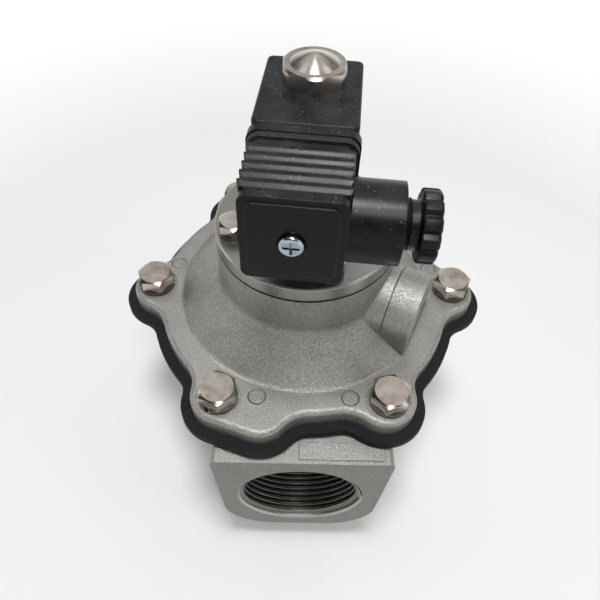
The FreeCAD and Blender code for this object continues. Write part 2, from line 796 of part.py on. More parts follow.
def hex_bolt(flats, head, radius, length):
    """Hexagon bolt, head upward from height zero, shank downward."""
    shank = Part.makeCylinder(radius, length, Vector(0, 0, -length))
    shank = shank.makeChamfer(get("tip_chamfer_ratio") * radius, top_edges(shank, -length))
    return hexagon(flats, head).fuse(shank).removeSplitter()


def spring_washer(radius, hole, thick, split):
    """Flat ring with one slanted cut."""
    ring = Part.makeCylinder(radius, thick).cut(Part.makeCylinder(hole, thick))
    gap = Part.makeBox(radius * 2, split, 3 * thick, Vector(0, -split / 2, -thick))
    gap.rotate(Vector(0, 0, thick / 2), Vector(1, 0, 0), get("washer_split_angle"))
    return ring.cut(gap)


def placed(shape, spots, turns):
    """One compound of the shape turned and set at each spot."""
    copies = []
    for spot, turn in zip(spots, turns):
        copy = shape.copy()
        copy.rotate(Vector(0, 0, 0), Vector(0, 0, 1), turn)
        copy.translate(spot)
        copies.append(copy)
    return Part.makeCompound(copies)


def fasteners():
    """Bonnet bolts and plate bolts with their spring washers."""
    washer_thick = get("washer_thick")
    washer = spring_washer(get("washer_radius"), get("bolt_radius") + 2 * get("fit_clearance"),
                           washer_thick, get("washer_split"))
    bolt = hex_bolt(get("bolt_flats"), get("bolt_head"), get("bolt_radius"), get("bolt_length"))
    seats = [polar(get("bolt_circle"), angle, get("head_seat")) for angle in BOLT_ANGLES]
    heads = [seat + Vector(0, 0, washer_thick) for seat in seats]
    node(feature("bonnet_bolts", placed(bolt, heads, BOLT_TURNS)), "bonnet_bolts")
    node(feature("bonnet_washers", placed(washer, seats, WASHER_TURNS)), "bonnet_washers")
    washer_thick = get("plate_washer_thick")
    washer = spring_washer(get("plate_washer_radius"), get("plate_bolt_radius") + 2 * get("fit_clearance"),
                           washer_thick, get("washer_split"))
    bolt = hex_bolt(get("plate_bolt_flats"), get("plate_bolt_head"), get("plate_bolt_radius"),
                    get("plate_bolt_length") + washer_thick)
    seats = plate_spots(get("plate_top"))
    heads = [seat + Vector(0, 0, washer_thick) for seat in seats]
    node(feature("plate_bolts", placed(bolt, heads, PLATE_BOLT_TURNS)), "plate_bolts")
    node(feature("plate_washers", placed(washer, seats, PLATE_WASHER_TURNS)), "plate_washers")


def coil_spring(foot_radius, head_radius, bottom, top, wire, turns):
    """Compression spring of round wire between two heights, straight or conical."""
    rise = top - bottom - 2 * wire
    steps = round(COIL_STEPS * turns)
    points = []
    for step in range(steps + 1):
        share = step / steps
        radius = foot_radius + (head_radius - foot_radius) * share
        points.append(polar(radius, 360 * turns * share, rise * share))
    line = Part.BSplineCurve()
    line.interpolate(points)
    section = Part.Wire(Part.makeCircle(wire, points[0], line.tangent(0)[0]))
    spring = Part.Wire(line.toShape()).makePipeShell([section], True, True)
    spring.translate(Vector(0, 0, bottom + wire))
    return spring


def springs():
    """Main spring over the backing plate, pilot spring and plunger spring."""
    main = coil_spring(get("spring_foot_radius"), get("spring_head_radius"), get("backing_top"),
                       get("cavity_top"), get("spring_wire"), get("spring_turns"))
    node(feature("main_spring", main), "main_spring")
    radius = get("pilot_spring_radius")
    pilot = coil_spring(radius, radius, get("pilot_disc_top"), get("plate_cavity_top"),
                        get("pilot_spring_wire"), get("pilot_spring_turns"))
    node(feature("pilot_spring", pilot), "pilot_spring")
    wire = get("plunger_spring_wire")
    radius = get("plunger_bore") - wire - get("plunger_spring_ease")
    plunger = coil_spring(radius, radius, get("plunger_bore_floor"), get("core_bottom"), wire,
                          get("plunger_spring_turns"))
    node(feature("plunger_spring", plunger), "plunger_spring")


def pilot_stage():
    """Pilot diaphragm, its disc and the plate that clamps it to the neck."""
    rim_thick = get("pilot_rim_thick")
    shape = Part.makeCylinder(get("neck_radius"), rim_thick, Vector(0, 0, get("neck_top")))
    shape = shape.cut(on_plate(get("plate_bolt_hole"), get("neck_top"), rim_thick))
    node(feature("pilot_diaphragm", shape), "pilot_diaphragm")
    node(turned("pilot_disc_body", [("axis", "pilot_rim_top"), ("pilot_disc_radius", "pilot_rim_top"),
                                    ("pilot_disc_radius", "pilot_disc_top"), ("axis", "pilot_disc_top")]),
         "pilot_disc")
    blank = turned("plate_blank", [("orifice_radius", "plate_cavity_top"),
                                   ("plate_cavity_radius", "plate_cavity_top"),
                                   ("plate_cavity_radius", "pilot_rim_top"),
                                   ("neck_radius", "pilot_rim_top"),
                                   ("neck_radius", "plate_edge_height"), ("plate_rim", "plate_top"),
                                   ("plate_hub_radius", "plate_top"), ("plate_hub_radius", "plate_hub_top"),
                                   ("socket_radius", "plate_hub_top"), ("socket_radius", "socket_bottom"),
                                   ("orifice_nozzle_radius", "socket_bottom"),
                                   ("orifice_nozzle_radius", "orifice_top"),
                                   ("orifice_radius", "orifice_top")])
    holes = on_plate(get("plate_bolt_hole"), get("pilot_rim_top"), get("plate_thick"))
    node(cut("pilot_plate_cut", blank, feature("plate_holes", Part.makeCompound(holes))), "pilot_plate")


def armature():
    """Tube with its hexagon, fixed core with the stud, plunger with its seal, and the O-ring."""
    tube = turned("tube_turned", [("tube_bore", "spigot_bottom"), ("spigot_radius", "spigot_bottom"),
                                  ("spigot_radius", "plate_hub_top"),
                                  ("tube_collar_radius", "plate_hub_top"),
                                  ("tube_collar_radius", "coil_bottom"), ("tube_radius", "coil_bottom"),
                                  ("tube_radius", "tube_top"), ("tube_bore", "tube_top")])
    prism = hexagon(get("tube_flats"), get("tube_hex_height"))
    prism = prism.cut(Part.makeCylinder(get("tube_bore"), get("tube_hex_height")))
    prism.translate(Vector(0, 0, get("plate_hub_top")))
    node(fused("tube_whole", tube, feature("tube_hexagon", prism)), "armature_tube")
    node(turned("core", [("axis", "core_bottom"), ("core_radius", "core_bottom"),
                         ("core_radius", "tube_top"), ("tube_radius", "tube_top"),
                         ("tube_radius", "core_flange_top"),
                         ("core_stud_radius", "core_flange_top"), ("core_stud_radius", "stud_end"),
                         ("axis", "stud_end")]), "fixed_core")
    node(turned("plunger_turned", [("axis", "seal_top"), ("seal_pocket_radius", "seal_top"),
                                   ("seal_pocket_radius", "plunger_bottom"),
                                   ("plunger_radius", "plunger_bottom"), ("plunger_radius", "plunger_top"),
                                   ("plunger_bore", "plunger_top"), ("plunger_bore", "plunger_bore_floor"),
                                   ("axis", "plunger_bore_floor")]), "plunger")
    node(cylinder("plunger_seal_disc", Radius="seal_radius", Height="seal_thick", z="orifice_top"),
         "plunger_seal")
    ring = doc.addObject("Part::Torus", "tube_ring")
    bind(ring, Radius1="spigot_radius - ring_wire", Radius2="ring_wire", z="socket_bottom + ring_wire")
    node(ring, "tube_o_ring")


def coil_frame():
    """Placement of everything that turns with the coil."""
    return Placement(Vector(0, 0, 0), Rotation(Vector(0, 0, 1), -get("coil_angle")))


def soft_box(name, corner_size, axis, **formulas):
    """Box with the four edges along one axis rounded."""
    block = box(name, **formulas)
    doc.recompute()
    soft = doc.addObject("Part::Fillet", name + "_soft")
    soft.Base = block
    spans = {"x": "XLength", "y": "YLength", "z": "ZLength"}
    edges = [index for index, edge in enumerate(block.Shape.Edges, start=1)
             if getattr(edge.BoundBox, spans[axis]) > 1e-3]
    soft.Edges = [(index, get(corner_size), get(corner_size)) for index in edges]
    return soft


def coil():
    """Moulded coil with its bore, connector pedestal, winding and three blades."""
    main = soft_box("coil_block", "coil_corner", "z", Length="coil_width",
                    Width="coil_front + coil_rear", Height="coil_height",
                    x="-coil_width / 2 - head_shift", y="-coil_front", z="coil_bottom")
    doc.recompute()
    top = doc.addObject("Part::Fillet", "coil_edged")
    top.Base = main
    edge_size = get("coil_edge")
    top.Edges = [(index, edge_size, edge_size) for index, edge in enumerate(main.Shape.Edges, start=1)
                 if abs(edge.BoundBox.ZMin - get("coil_top")) < CLOSE]
    pedestal = soft_box("pedestal", "pedestal_corner", "y", Length="pedestal_width", Width="pedestal_thick",
                        Height="pedestal_height", x="-pedestal_width / 2 - head_shift", y="-pedestal_front",
                        z="head_centre - pedestal_height / 2")
    solid = fused("coil_solid", top, pedestal)
    bore = cylinder("coil_bore_tool", Radius="coil_bore", Height="coil_height", z="coil_bottom")
    room = turned("winding_room", [("winding_inner", "winding_bottom"), ("winding_outer", "winding_bottom"),
                                   ("winding_outer", "winding_top"), ("winding_inner", "winding_top")])
    tapped = cylinder("screw_thread", Radius="screw_radius + fit_clearance", Height="screw_thread_depth",
                      x="-head_shift", y="-pedestal_front + screw_thread_depth", z="head_centre")
    tapped.Placement.Rotation = Rotation(Vector(1, 0, 0), 90)
    slots = feature("blade_slots", blades(get("fit_clearance")))
    frame = coil_frame()
    node(cut("coil_cut", solid, bore, room, tapped, slots), "coil_housing", frame)
    winding = turned("winding", [("winding_inner", "winding_bottom"), ("winding_outer", "winding_bottom"),
                                 ("winding_outer", "winding_top"), ("winding_inner", "winding_top")])
    node(winding, "coil_winding")
    node(feature("coil_blades", blades(0.0)), "coil_blades", frame)


def blades(grow):
    """Three flat contacts that reach from the coil into the connector."""
    centre = Vector(-get("head_shift"), get("blade_embed") - get("pedestal_front"), get("head_centre"))
    wide = get("blade_width") + 2 * grow
    thin = get("blade_thick") + 2 * grow
    length = get("blade_length") + grow
    spread = get("blade_spread")
    solids = []
    for side in (-1, 1):
        low = centre + Vector(side * spread - thin / 2, -length, -wide / 2)
        solids.append(Part.makeBox(thin, length, wide, low))
    low = centre + Vector(-wide / 2, -length, -spread - thin / 2)
    solids.append(Part.makeBox(wide, length, thin, low))
    return Part.makeCompound(solids)


def dome_nut():
    """Nut with turned corners, a flat rim and a low dome, blind bored for the stud."""
    height = get("nut_height")
    prism = six_sided(get("nut_flats"), height)
    prism.rotate(Vector(0, 0, 0), Vector(0, 0, 1), 90)
    trim = get("nut_corner_radius")
    chamfer = get("nut_chamfer")
    wall = Part.makeCylinder(trim, height - chamfer)
    lid = Part.makeCone(trim, trim - get("nut_chamfer_reach"), chamfer, Vector(0, 0, height - chamfer))
    body = prism.common(wall.fuse(lid))
    base = get("dome_radius")
    rise = get("dome_rise")
    ball_radius = (base**2 + rise**2) / (2 * rise)
    ball = Part.makeSphere(ball_radius, Vector(0, 0, height + rise - ball_radius))
    dome = ball.common(Part.makeCylinder(base, 2 * rise, Vector(0, 0, height - rise / 4)))
    solid = body.fuse(dome)
    solid = solid.cut(Part.makeCylinder(get("nut_bore"), get("nut_blind_top") - get("coil_top")))
    solid.translate(Vector(0, 0, get("coil_top")))
    node(feature("dome_nut", solid.removeSplitter()), "dome_nut")


def connector():
    """Gasket, ribbed connector housing with the gland's barrel, insert and screw."""
    frame = coil_frame()
    gasket = soft_box("gasket_block", "pedestal_corner", "y", Length="pedestal_width - 2 * gasket_inset",
                      Width="gasket_thick", Height="pedestal_height - 2 * gasket_inset",
                      x="-pedestal_width / 2 + gasket_inset - head_shift", y="-gasket_front",
                      z="head_centre - pedestal_height / 2 + gasket_inset")
    window = box("gasket_window", Length="connector_cavity_width", Width="gasket_thick",
                 Height="connector_cavity_height", x="-connector_cavity_width / 2 - head_shift",
                 y="-gasket_front", z="head_centre - connector_cavity_height / 2")
    node(cut("gasket_cut", gasket, window), "connector_gasket", frame)
    main = soft_box("connector_block", "connector_corner", "y", Length="connector_width",
                    Width="connector_depth - panel_step", Height="connector_height",
                    x="-half_connector - head_shift", y="panel_step - connector_front",
                    z="head_centre - connector_height / 2")
    panel = soft_box("front_panel", "panel_corner", "y", Length="connector_width - 2 * panel_inset",
                     Width="2 * panel_step", Height="connector_height - 2 * panel_inset",
                     x="panel_inset - half_connector - head_shift", y="-connector_front",
                     z="head_centre - connector_height / 2 + panel_inset")
    parts = [main, panel] + ribs()
    barrel = cylinder("gland_barrel", Radius="barrel_radius",
                      Height="barrel_reach - half_connector + panel_inset",
                      x="half_connector - panel_inset", y="-gland_axis_forward", z="gland_axis_height")
    sideways = Rotation(Vector(0, 1, 0), 90)
    barrel.Placement.Rotation = sideways
    parts.append(barrel)
    solid = fused("connector_solid", *parts)
    cavity = box("connector_cavity", Length="connector_cavity_width", Width="connector_cavity_depth",
                 Height="connector_cavity_height", x="-connector_cavity_width / 2 - head_shift",
                 y="-gasket_front - connector_cavity_depth", z="head_centre - connector_cavity_height / 2")
    bore = cylinder("barrel_bore_tool", Radius="barrel_bore", Height="barrel_reach - gland_seal_start",
                    x="gland_seal_start", y="-gland_axis_forward", z="gland_axis_height")
    bore.Placement.Rotation = sideways
    throat = cylinder("barrel_throat", Radius="cable_radius", Height="half_connector",
                      x="gland_seal_start - half_connector / 2", y="-gland_axis_forward",
                      z="gland_axis_height")
    throat.Placement.Rotation = sideways
    away = Rotation(Vector(1, 0, 0), 90)
    hole = cylinder("screw_hole", Radius="screw_radius + fit_clearance", Height="connector_depth",
                    x="-head_shift", y="-gasket_front", z="head_centre")
    hole.Placement.Rotation = away
    seat = cylinder("screw_seat", Radius="screw_head_radius + screw_seat_ease",
                    Height="screw_head_height - screw_head_stand", x="-head_shift",
                    y="screw_head_height - screw_head_stand - connector_front", z="head_centre")
    seat.Placement.Rotation = away
    node(cut("connector_cut", solid, cavity, bore, throat, hole, seat), "connector_housing", frame)
    connector_inside(frame)


def ribs():
    """Grip ribs across the top and down the sides, spaced back from the front face."""
    pieces = []
    for index in range(RIB_COUNT):
        place = f"rib_first + {index} * rib_pitch - connector_front"
        upper = box(f"rib_top_{index}", Length="connector_width + 2 * rib_side", Width="rib_width",
                    Height="connector_corner + rib_height", x="-half_connector - rib_side - head_shift",
                    y=place, z="head_centre + connector_height / 2 - connector_corner")
        side = box(f"rib_side_{index}", Length="connector_width + 2 * rib_side", Width="rib_width",
                   Height="connector_height / 2", x="-half_connector - rib_side - head_shift",
                   y=place, z="head_centre")
        pieces += [upper, side]
    return pieces


def connector_inside(frame):
    """Contact block and the screw that holds the connector to the coil."""
    clear = get("fit_clearance")
    width = get("connector_cavity_width") - 2 * clear
    height = get("connector_cavity_height") - 2 * clear
    depth = get("connector_cavity_depth") + get("gasket_thick") - clear
    centre = Vector(-get("head_shift"), 0, get("head_centre"))
    inward = Vector(0, 1, 0)
    block_front = centre - inward * (get("pedestal_front") + depth)
    block = Part.makeBox(width, depth, height, block_front - Vector(width / 2, 0, height / 2))
    hole = Part.makeCylinder(get("screw_radius") + clear, depth, block_front, inward)
    wire_start = Vector(width / 4 - get("head_shift"), -get("gland_axis_forward"), get("gland_axis_height"))
    wire_room = Part.makeCylinder(get("cable_radius"), width / 4, wire_start, Vector(1, 0, 0))
    block = block.cut([hole, blades(clear), wire_room])
    node(feature("connector_insert", block), "connector_insert", frame)
    front = centre - inward * (get("connector_front") + get("screw_head_stand"))
    head_height = get("screw_head_height")
    head = Part.makeCylinder(get("screw_head_radius"), head_height, front, inward)
    rim = [edge for edge in head.Edges if edge.BoundBox.YMax < front.y + CLOSE]
    head = head.makeFillet(get("screw_head_round"), rim)
    reach = get("connector_front") - get("pedestal_front") + get("pedestal_thick")
    shank = Part.makeCylinder(get("screw_radius"), reach, front + inward * head_height, inward)
    slot = get("screw_slot")
    long_side = get("screw_slot_length")
    deep = get("screw_slot_depth")
    level = Part.makeBox(long_side, deep, slot, front - Vector(long_side / 2, 0, slot / 2))
    upright = Part.makeBox(slot, deep, long_side, front - Vector(slot / 2, 0, long_side / 2))
    screw = head.fuse(shank).cut([level, upright])
    screw.rotate(front, inward, get("screw_angle"))
    node(feature("connector_screw", screw), "connector_screw", frame)


def gland():
    """Rubber grommet, washer and gland nut on the barrel's axis."""
    origin = Vector(0, -get("gland_axis_forward"), get("gland_axis_height"))
    frame = coil_frame()
    axis = Vector(1, 0, 0)

    def tube(start, end, outer, inner=None):
        spot = origin + Vector(start, 0, 0)
        solid = Part.makeCylinder(outer, end - start, spot, axis)
        return solid if inner is None else solid.cut(Part.makeCylinder(inner, end - start, spot, axis))

    clear = get("fit_clearance")
    bore = get("cable_radius")
    seal_start = get("gland_seal_start")
    washer_start = get("gland_washer_start")
    outer = get("gland_thread_radius")
    seal = tube(seal_start, washer_start, outer - clear, bore - get("seal_grip"))
    node(feature("gland_seal", seal), "gland_seal", frame)
    washer = tube(washer_start, get("thread_start") - clear, outer - clear, bore + get("washer_ease"))
    node(feature("gland_washer", washer), "gland_washer", frame)
    head = tube(get("head_start"), get("head_end"), get("gland_head_radius"))
    rim = [edge for edge in head.Edges if edge.BoundBox.XMin > get("head_end") - CLOSE]
    head = head.makeChamfer(get("gland_head_chamfer"), rim)
    notches = []
    for index in range(GLAND_NOTCHES):
        turn = 2 * math.pi * index / GLAND_NOTCHES
        ring = get("gland_head_radius") + get("gland_notch_rise")
        spot = origin + Vector(get("head_start"), ring * math.cos(turn), ring * math.sin(turn))
        notches.append(Part.makeCylinder(get("gland_notch_radius"), get("gland_head_length"), spot, axis))
    head = head.cut(notches)
    thread = tube(get("thread_start"), get("thread_end"), outer)
    neck = tube(get("thread_end"), get("head_start"), get("gland_neck_radius"))
    nut = thread.fuse([neck, head]).cut(tube(get("thread_start"), get("head_end"), bore))
    node(feature("gland_nut", nut.removeSplitter()), "gland_nut", frame)


def check_and_write():
    """Stop on any failed object or broken shape, then write each piece."""
    doc.recompute()
    for item in doc.Objects:
        if "Invalid" in item.State or "Error" in item.State:
            raise RuntimeError(f"{item.Name} failed: {item.State}")
    os.makedirs("parts", exist_ok=True)
    for item in nodes:
        shape = item.Shape
        if shape.isNull() or not shape.isValid() or shape.Volume <= 0:
            raise RuntimeError(f"{item.Label} has no valid shape")
        shape.exportStep(os.path.join("parts", item.Label + ".step"))
        box_of = shape.BoundBox
        print(f"{item.Label:18s} solids {len(shape.Solids)} volume {shape.Volume:10.1f} "
              f"z {box_of.ZMin:7.2f} {box_of.ZMax:7.2f}")


fill_sheet()
valve_body()
bonnet()
main_diaphragm()
moving_disc()
fasteners()
springs()
pilot_stage()
armature()
coil()
dome_nut()
connector()
gland()
check_and_write()
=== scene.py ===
import math

import bmesh
import bpy
from bpy.props import FloatProperty, FloatVectorProperty, IntProperty, PointerProperty
from bpy.types import Operator, Panel, PropertyGroup
from mathutils import Matrix, Vector


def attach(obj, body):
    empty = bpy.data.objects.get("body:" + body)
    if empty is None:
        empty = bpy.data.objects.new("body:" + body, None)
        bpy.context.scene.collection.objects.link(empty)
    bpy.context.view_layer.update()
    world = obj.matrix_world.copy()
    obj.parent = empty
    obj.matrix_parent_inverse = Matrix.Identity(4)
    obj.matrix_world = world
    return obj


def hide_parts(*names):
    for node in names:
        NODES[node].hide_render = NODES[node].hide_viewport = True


bl_info = {
    "name": "Pulse valve",
    "version": (1, 0, 0),
    "blender": (4, 5, 0),
    "location": "3D View > Sidebar > Valve",
    "description": "Finishes, threads and fasteners for a right-angle diaphragm pulse valve",
    "category": "Object",
}

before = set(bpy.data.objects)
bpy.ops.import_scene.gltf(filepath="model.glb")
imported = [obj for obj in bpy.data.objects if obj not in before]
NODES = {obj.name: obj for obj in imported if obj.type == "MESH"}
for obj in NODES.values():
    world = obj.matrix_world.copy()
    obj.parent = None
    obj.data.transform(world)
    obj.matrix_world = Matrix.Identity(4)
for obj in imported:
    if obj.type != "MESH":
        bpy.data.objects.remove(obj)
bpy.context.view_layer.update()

MM = 0.001

# The ports: the inlet's axis and end, the bore, where the thread starts, what holds all of a
# port's walls, and how far in a milled face counts as one.
INLET_HEIGHT = 45 * MM
INLET_FACE = -73.1 * MM
PORT_RADIUS = 23.9 * MM
PORT_MOUTH = 1.15 * MM
PORT_WALL = 24.95 * MM
PORT_DEPTH = 33 * MM
OUTLET_DEPTH = 24 * MM
FACE_SKIN = 0.2 * MM

# Ridge of a port's thread: how far it is sunk in the wall, its widths at root and crest in parts
# of the pitch, and its steps for each turn.
RIDGE_SINK = 0.05 * MM
RIDGE_ROOT = 0.94
RIDGE_CREST = 0.22
RIDGE_STEPS = 64

# The coil's turn at rest, and the gland's axis in the connector.
COIL_TURN = Matrix.Rotation(math.radians(-5.5), 4, "Z")
GLAND_PLACE = (COIL_TURN @ Matrix.Translation((0, -41.6 * MM, 166.2 * MM))
               @ Matrix.Rotation(math.pi / 2, 4, "Y"))

# A spot is a bolt's angle from the inlet side, as polar() takes it, and its head's own turn. The
# disc is the flat top inside the head's 30 degree chamfer, the seat is the head's underside, and
# the thread's length counts from the tip.
BONNET_BOLTS = {"flats": 13 * MM, "disc": 5.95 * MM, "head": 5.3 * MM, "radius": 4 * MM,
                "length": 22 * MM, "thread": 7 * MM, "seat": 89.8 * MM, "circle": 61.8 * MM,
                "spots": ((30, 16), (90, 3), (150, 41), (210, 22), (270, 52), (330, 35))}
PLATE_BOLTS = {"flats": 10 * MM, "disc": 4.55 * MM, "head": 4.1 * MM, "radius": 3 * MM,
               "length": 17.6 * MM, "thread": 4 * MM, "seat": 127.9 * MM, "circle": 27.5 * MM,
               "spots": ((-75, 95), (15, 5), (105, 275), (195, 185))}
CHAMFER_SPREAD = math.tan(math.radians(60))
TIP_CHAMFER = 0.8 * MM
BOLT_AROUND = 72
BOLT_ROWS = 40

# Shallow round casting marks on the bonnet's flange.
MARK_CIRCLE = 55.5 * MM
MARK_RADIUS = 3.15 * MM
MARK_EDGE = 0.3 * MM
MARK_DEPTH = 0.45 * MM
MARK_ANGLES = (17.8, 102.2, 137.8, 222.2, 257.8, 342.2)

# The dome nut's corners are trimmed 20 degrees from the middle of each flat. Its dome falls with
# this power of the distance from its axis, and has a tiny flat tip, in parts of its radius.
NUT_BASE = 183.1 * MM
NUT_FLATS = 18.6 * MM
NUT_CORNER = NUT_FLATS / 2 / math.cos(math.radians(20))
NUT_HEIGHT = 5.4 * MM
NUT_RIM = 9.2 * MM
NUT_BORE = 4.05 * MM
NUT_BLIND = 4.9 * MM
NUT_BLIND_TIP = 0.2 * MM
NUT_AROUND = 144
DOME_RADIUS = 7.4 * MM
DOME_RISE = 2.8 * MM
DOME_CURVE = 1.45
DOME_TIP = 0.02
DOME_ROWS = 24

# Grip ribs over the connector.
RIB_HALF_WIDTH = 13.95 * MM
RIB_SHIFT = -0.5 * MM
RIB_FOOT = 167.3 * MM
RIB_TOP = 181.8 * MM
RIB_FIRST = -48.5 * MM
RIB_PITCH = 3.62 * MM
RIB_COUNT = 5
RIB_CREST = 0.76 * MM
RIB_SIDE_CREST = 0.53 * MM
RIB_SINK = 0.02 * MM
RIB_ROOT = 0.9 * MM
RIB_STEPS = 14

# Gland nut, along its axis from the connector's middle: both ends of its thread and of its head,
# and radii. Its mouth is a funnel: depths from the end, and widths beyond the bore.
GLAND_THREAD = (20.8 * MM, 29.8 * MM)
GLAND_HEAD = (32.3 * MM, 37.4 * MM)
GLAND_BORE = 4.5 * MM
GLAND_CORE = 7.4 * MM
GLAND_NECK = 6.9 * MM
GLAND_NECK_EDGE = 0.1 * MM
GLAND_FILLET = 0.4 * MM
GLAND_OUTER = 10.2 * MM
GLAND_BACK_RIM = 0.6 * MM
GLAND_RIM = 1.0 * MM
GLAND_MOUTH = ((0.0, 1.6 * MM), (0.5 * MM, 0.5 * MM), (1.1 * MM, 0.0))
GLAND_ROWS = 60
BACK_RIM_ROWS = 5
RIM_ROWS = 7
NOTCH_CURVE = 1.4
NOTCH_STEPS = 12

# Edges stay sharp where faces meet at more than this. Points closer than this become one.
SHARP_ANGLE = math.radians(24)
NUT_SHARP_ANGLE = math.radians(12)
GLAND_SHARP_ANGLE = math.radians(40)
MERGE_DISTANCE = 0.0001 * MM

# Each lamp's name, place and width in metres, and the stage setting that holds its power.
LAMPS = (("overhead", (0.0, -0.12, 1.15), 0.26, "overhead"),
         ("window", (0.0, 0.52, 0.95), 1.0, "window"),
         ("left_side", (-0.9, 0.1, 0.4), 0.35, "side"),
         ("right_side", (0.65, -0.3, 0.5), 0.35, "side"),
         ("left_fill", (-0.42, 0.12, 1.0), 0.35, "fill"),
         ("right_fill", (0.45, 0.16, 1.0), 0.35, "fill"),
         ("front", (0.08, -0.5, 1.12), 0.3, "front"))
LAMP_AIM = Vector((0, 0, 0.1))

# The floor in metres: half its side, and where its glow starts and is full.
FLOOR_HALF = 3.0
GLOW_START = 0.25
GLOW_FULL = 0.9

# The room's light, in parts of its strength, goes from the first share to the second between these
# sideways parts of a direction. Its pale band ends at the first upward part, and is full at the
# second.
ROOM_SPAN = (-0.5, 0.9)
ROOM_SHARES = (0.25, 2)
BAND = (0.5, 0.2)

# Camera, solved together with the sizes: azimuth, elevation and roll in degrees, place and lens in
# millimetres, shifts in parts of the picture, and the nearest that it sees in metres.
CAMERA_ANGLES = (-0.32, 48.95, 1.49)
CAMERA_PLACE = (-5.85, -156.94, 271.42)
CAMERA_LENS = 34.21
CAMERA_SENSOR = 36
CAMERA_SHIFT = (0.0131, -0.0315)
CAMERA_NEAREST = 0.01

# Kinds of node, and the settings of some.
BUMP = "ShaderNodeBump"
CELLS = "ShaderNodeTexVoronoi"
JOIN = "ShaderNodeCombineXYZ"
MATH = "ShaderNodeMath"
MIX = "ShaderNodeMix"
NOISE = "ShaderNodeTexNoise"
RANGE = "ShaderNodeMapRange"
SPLIT = "ShaderNodeSeparateXYZ"
SURFACE = "ShaderNodeBsdfPrincipled"
VECTOR = "ShaderNodeVectorMath"
COLOURS = {"data_type": "RGBA"}
NUMBERS = {"data_type": "FLOAT"}
PLUS, MINUS, TIMES = ({"operation": name} for name in ("ADD", "SUBTRACT", "MULTIPLY"))
BELOW, LEAST, MOST = ({"operation": name} for name in ("LESS_THAN", "MINIMUM", "MAXIMUM"))
SINE, ROOT = ({"operation": name} for name in ("SINE", "SQRT"))

# Socket numbers of a Mix node of colours, and of one of numbers. A Map Range takes a value, its
# lowest and highest, and the results for those.
SHARE, UNDER, OVER, BLEND = 0, 6, 7, 2
NUMBER_UNDER, NUMBER_OVER = 2, 3


def linear(hex_colour):
    """sRGB hex colour as linear red, green and blue."""
    parts = [int(hex_colour[i:i + 2], 16) / 255 for i in (0, 2, 4)]
    return tuple(c / 12.92 if c <= 0.04045 else ((c + 0.055) / 1.055) ** 2.4 for c in parts)


def colour_property(name, description, hex_colour):
    """Colour setting."""
    return FloatVectorProperty(name=name, description=description, subtype="COLOR", size=3,
                               min=0, max=1, default=linear(hex_colour))


def length_property(name, description, default):
    """Setting in metres."""
    return FloatProperty(name=name, description=description, default=default, min=0, unit="LENGTH")


def power_property(name, description, default):
    """Setting in watts."""
    return FloatProperty(name=name, description=description, default=default, min=0, unit="POWER")


class CastingSettings(PropertyGroup):
    """Look of the cast aluminium."""
    metal: colour_property("Metal", "Blasted aluminium", "B1B0AB")
    shade: colour_property("Shade", "Darker patches left by the mould", "949390")
    hollow: colour_property("Hollow", "Bottom of the blasting marks", "55534F")
    machined: colour_property("Machined", "Bored and faced aluminium", "B4B2AD")
    # Faced is a painted shade: the inlet's milled end is drawn darker than the metal.
    faced: colour_property("Faced", "Milled inlet end, dulled by handling", "7B7975")
    turned: colour_property("Turned", "Turned pilot plate", "9E9C99")
    turned_shade: colour_property("Turned shade", "Between the plate's tool lines", "84827F")
    # The threads' darker tone is a painted shade of the deep bore.
    thread_shade: colour_property("Stained", "Thread darkened by cutting oil", "7C7974")
    grain: length_property("Grain", "Size of the blasting marks", 0.5 * MM)
    relief: length_property("Relief", "Depth of the blasting marks", 0.2 * MM)
    cloud: length_property("Cloud", "Size of the darker patches", 9 * MM)


class ThreadSettings(PropertyGroup):
    """Threads of the ports, the gland and the bolts."""
    port_pitch: length_property("Port pitch", "Eleven threads to the inch", 2.309 * MM)
    port_depth: length_property("Port depth", "Height of the port's thread", 1.479 * MM)
    port_turns: FloatProperty(name="Port turns", description="Turns of each port's thread",
                              default=8.3)
    bolt_pitch: length_property("Bolt pitch", "Coarse pitch of the bolts", 1.25 * MM)
    bolt_depth: length_property("Bolt depth", "Depth of the bolts' thread", 0.55 * MM)
    gland_pitch: length_property("Gland pitch", "Eighteen threads to the inch", 1.41 * MM)
    gland_depth: length_property("Gland depth", "Depth of the gland nut's thread", 0.55 * MM)
    gland_notches: IntProperty(name="Gland notches", description="Finger notches on the nut",
                               default=12)
    gland_notch_depth: length_property("Notch depth", "Depth of a finger notch", 0.95 * MM)


class SteelSettings(PropertyGroup):
    """Look of the bolts, washers and nuts."""
    bolt: colour_property("Bolt", "Bright stainless bolts", "BFB9AF")
    bolt_shade: colour_property("Bolt shade", "Handling marks on the bolts", "9C857A")
    washer: colour_property("Washer", "Spring washers", "75716B")
    washer_shade: colour_property("Washer shade", "Darker side of the washers", "504C47")
    zinc: colour_property("Zinc", "Blue-white zinc on the connector's screw", "B4BCC4")
    zinc_shade: colour_property("Zinc shade", "Thinner zinc", "76808A")
    nut: colour_property("Nut", "Bright turned nut", "CFC9C0")
    nut_shade: colour_property("Nut shade", "Warmer patches on the nut", "A89F95")


class PlasticSettings(PropertyGroup):
    """Look of the black mouldings."""
    black: colour_property("Black", "Glass-filled nylon", "060708")
    # The film on what faces up is part dust, part painted sheen.
    film: colour_property("Film", "Thin grey film of dust on what faces up", "303234")
    dust: colour_property("Dust", "Light specks lying on it", "B9B9B4")
    speck: length_property("Speck", "Spacing of the dust", 0.8 * MM)


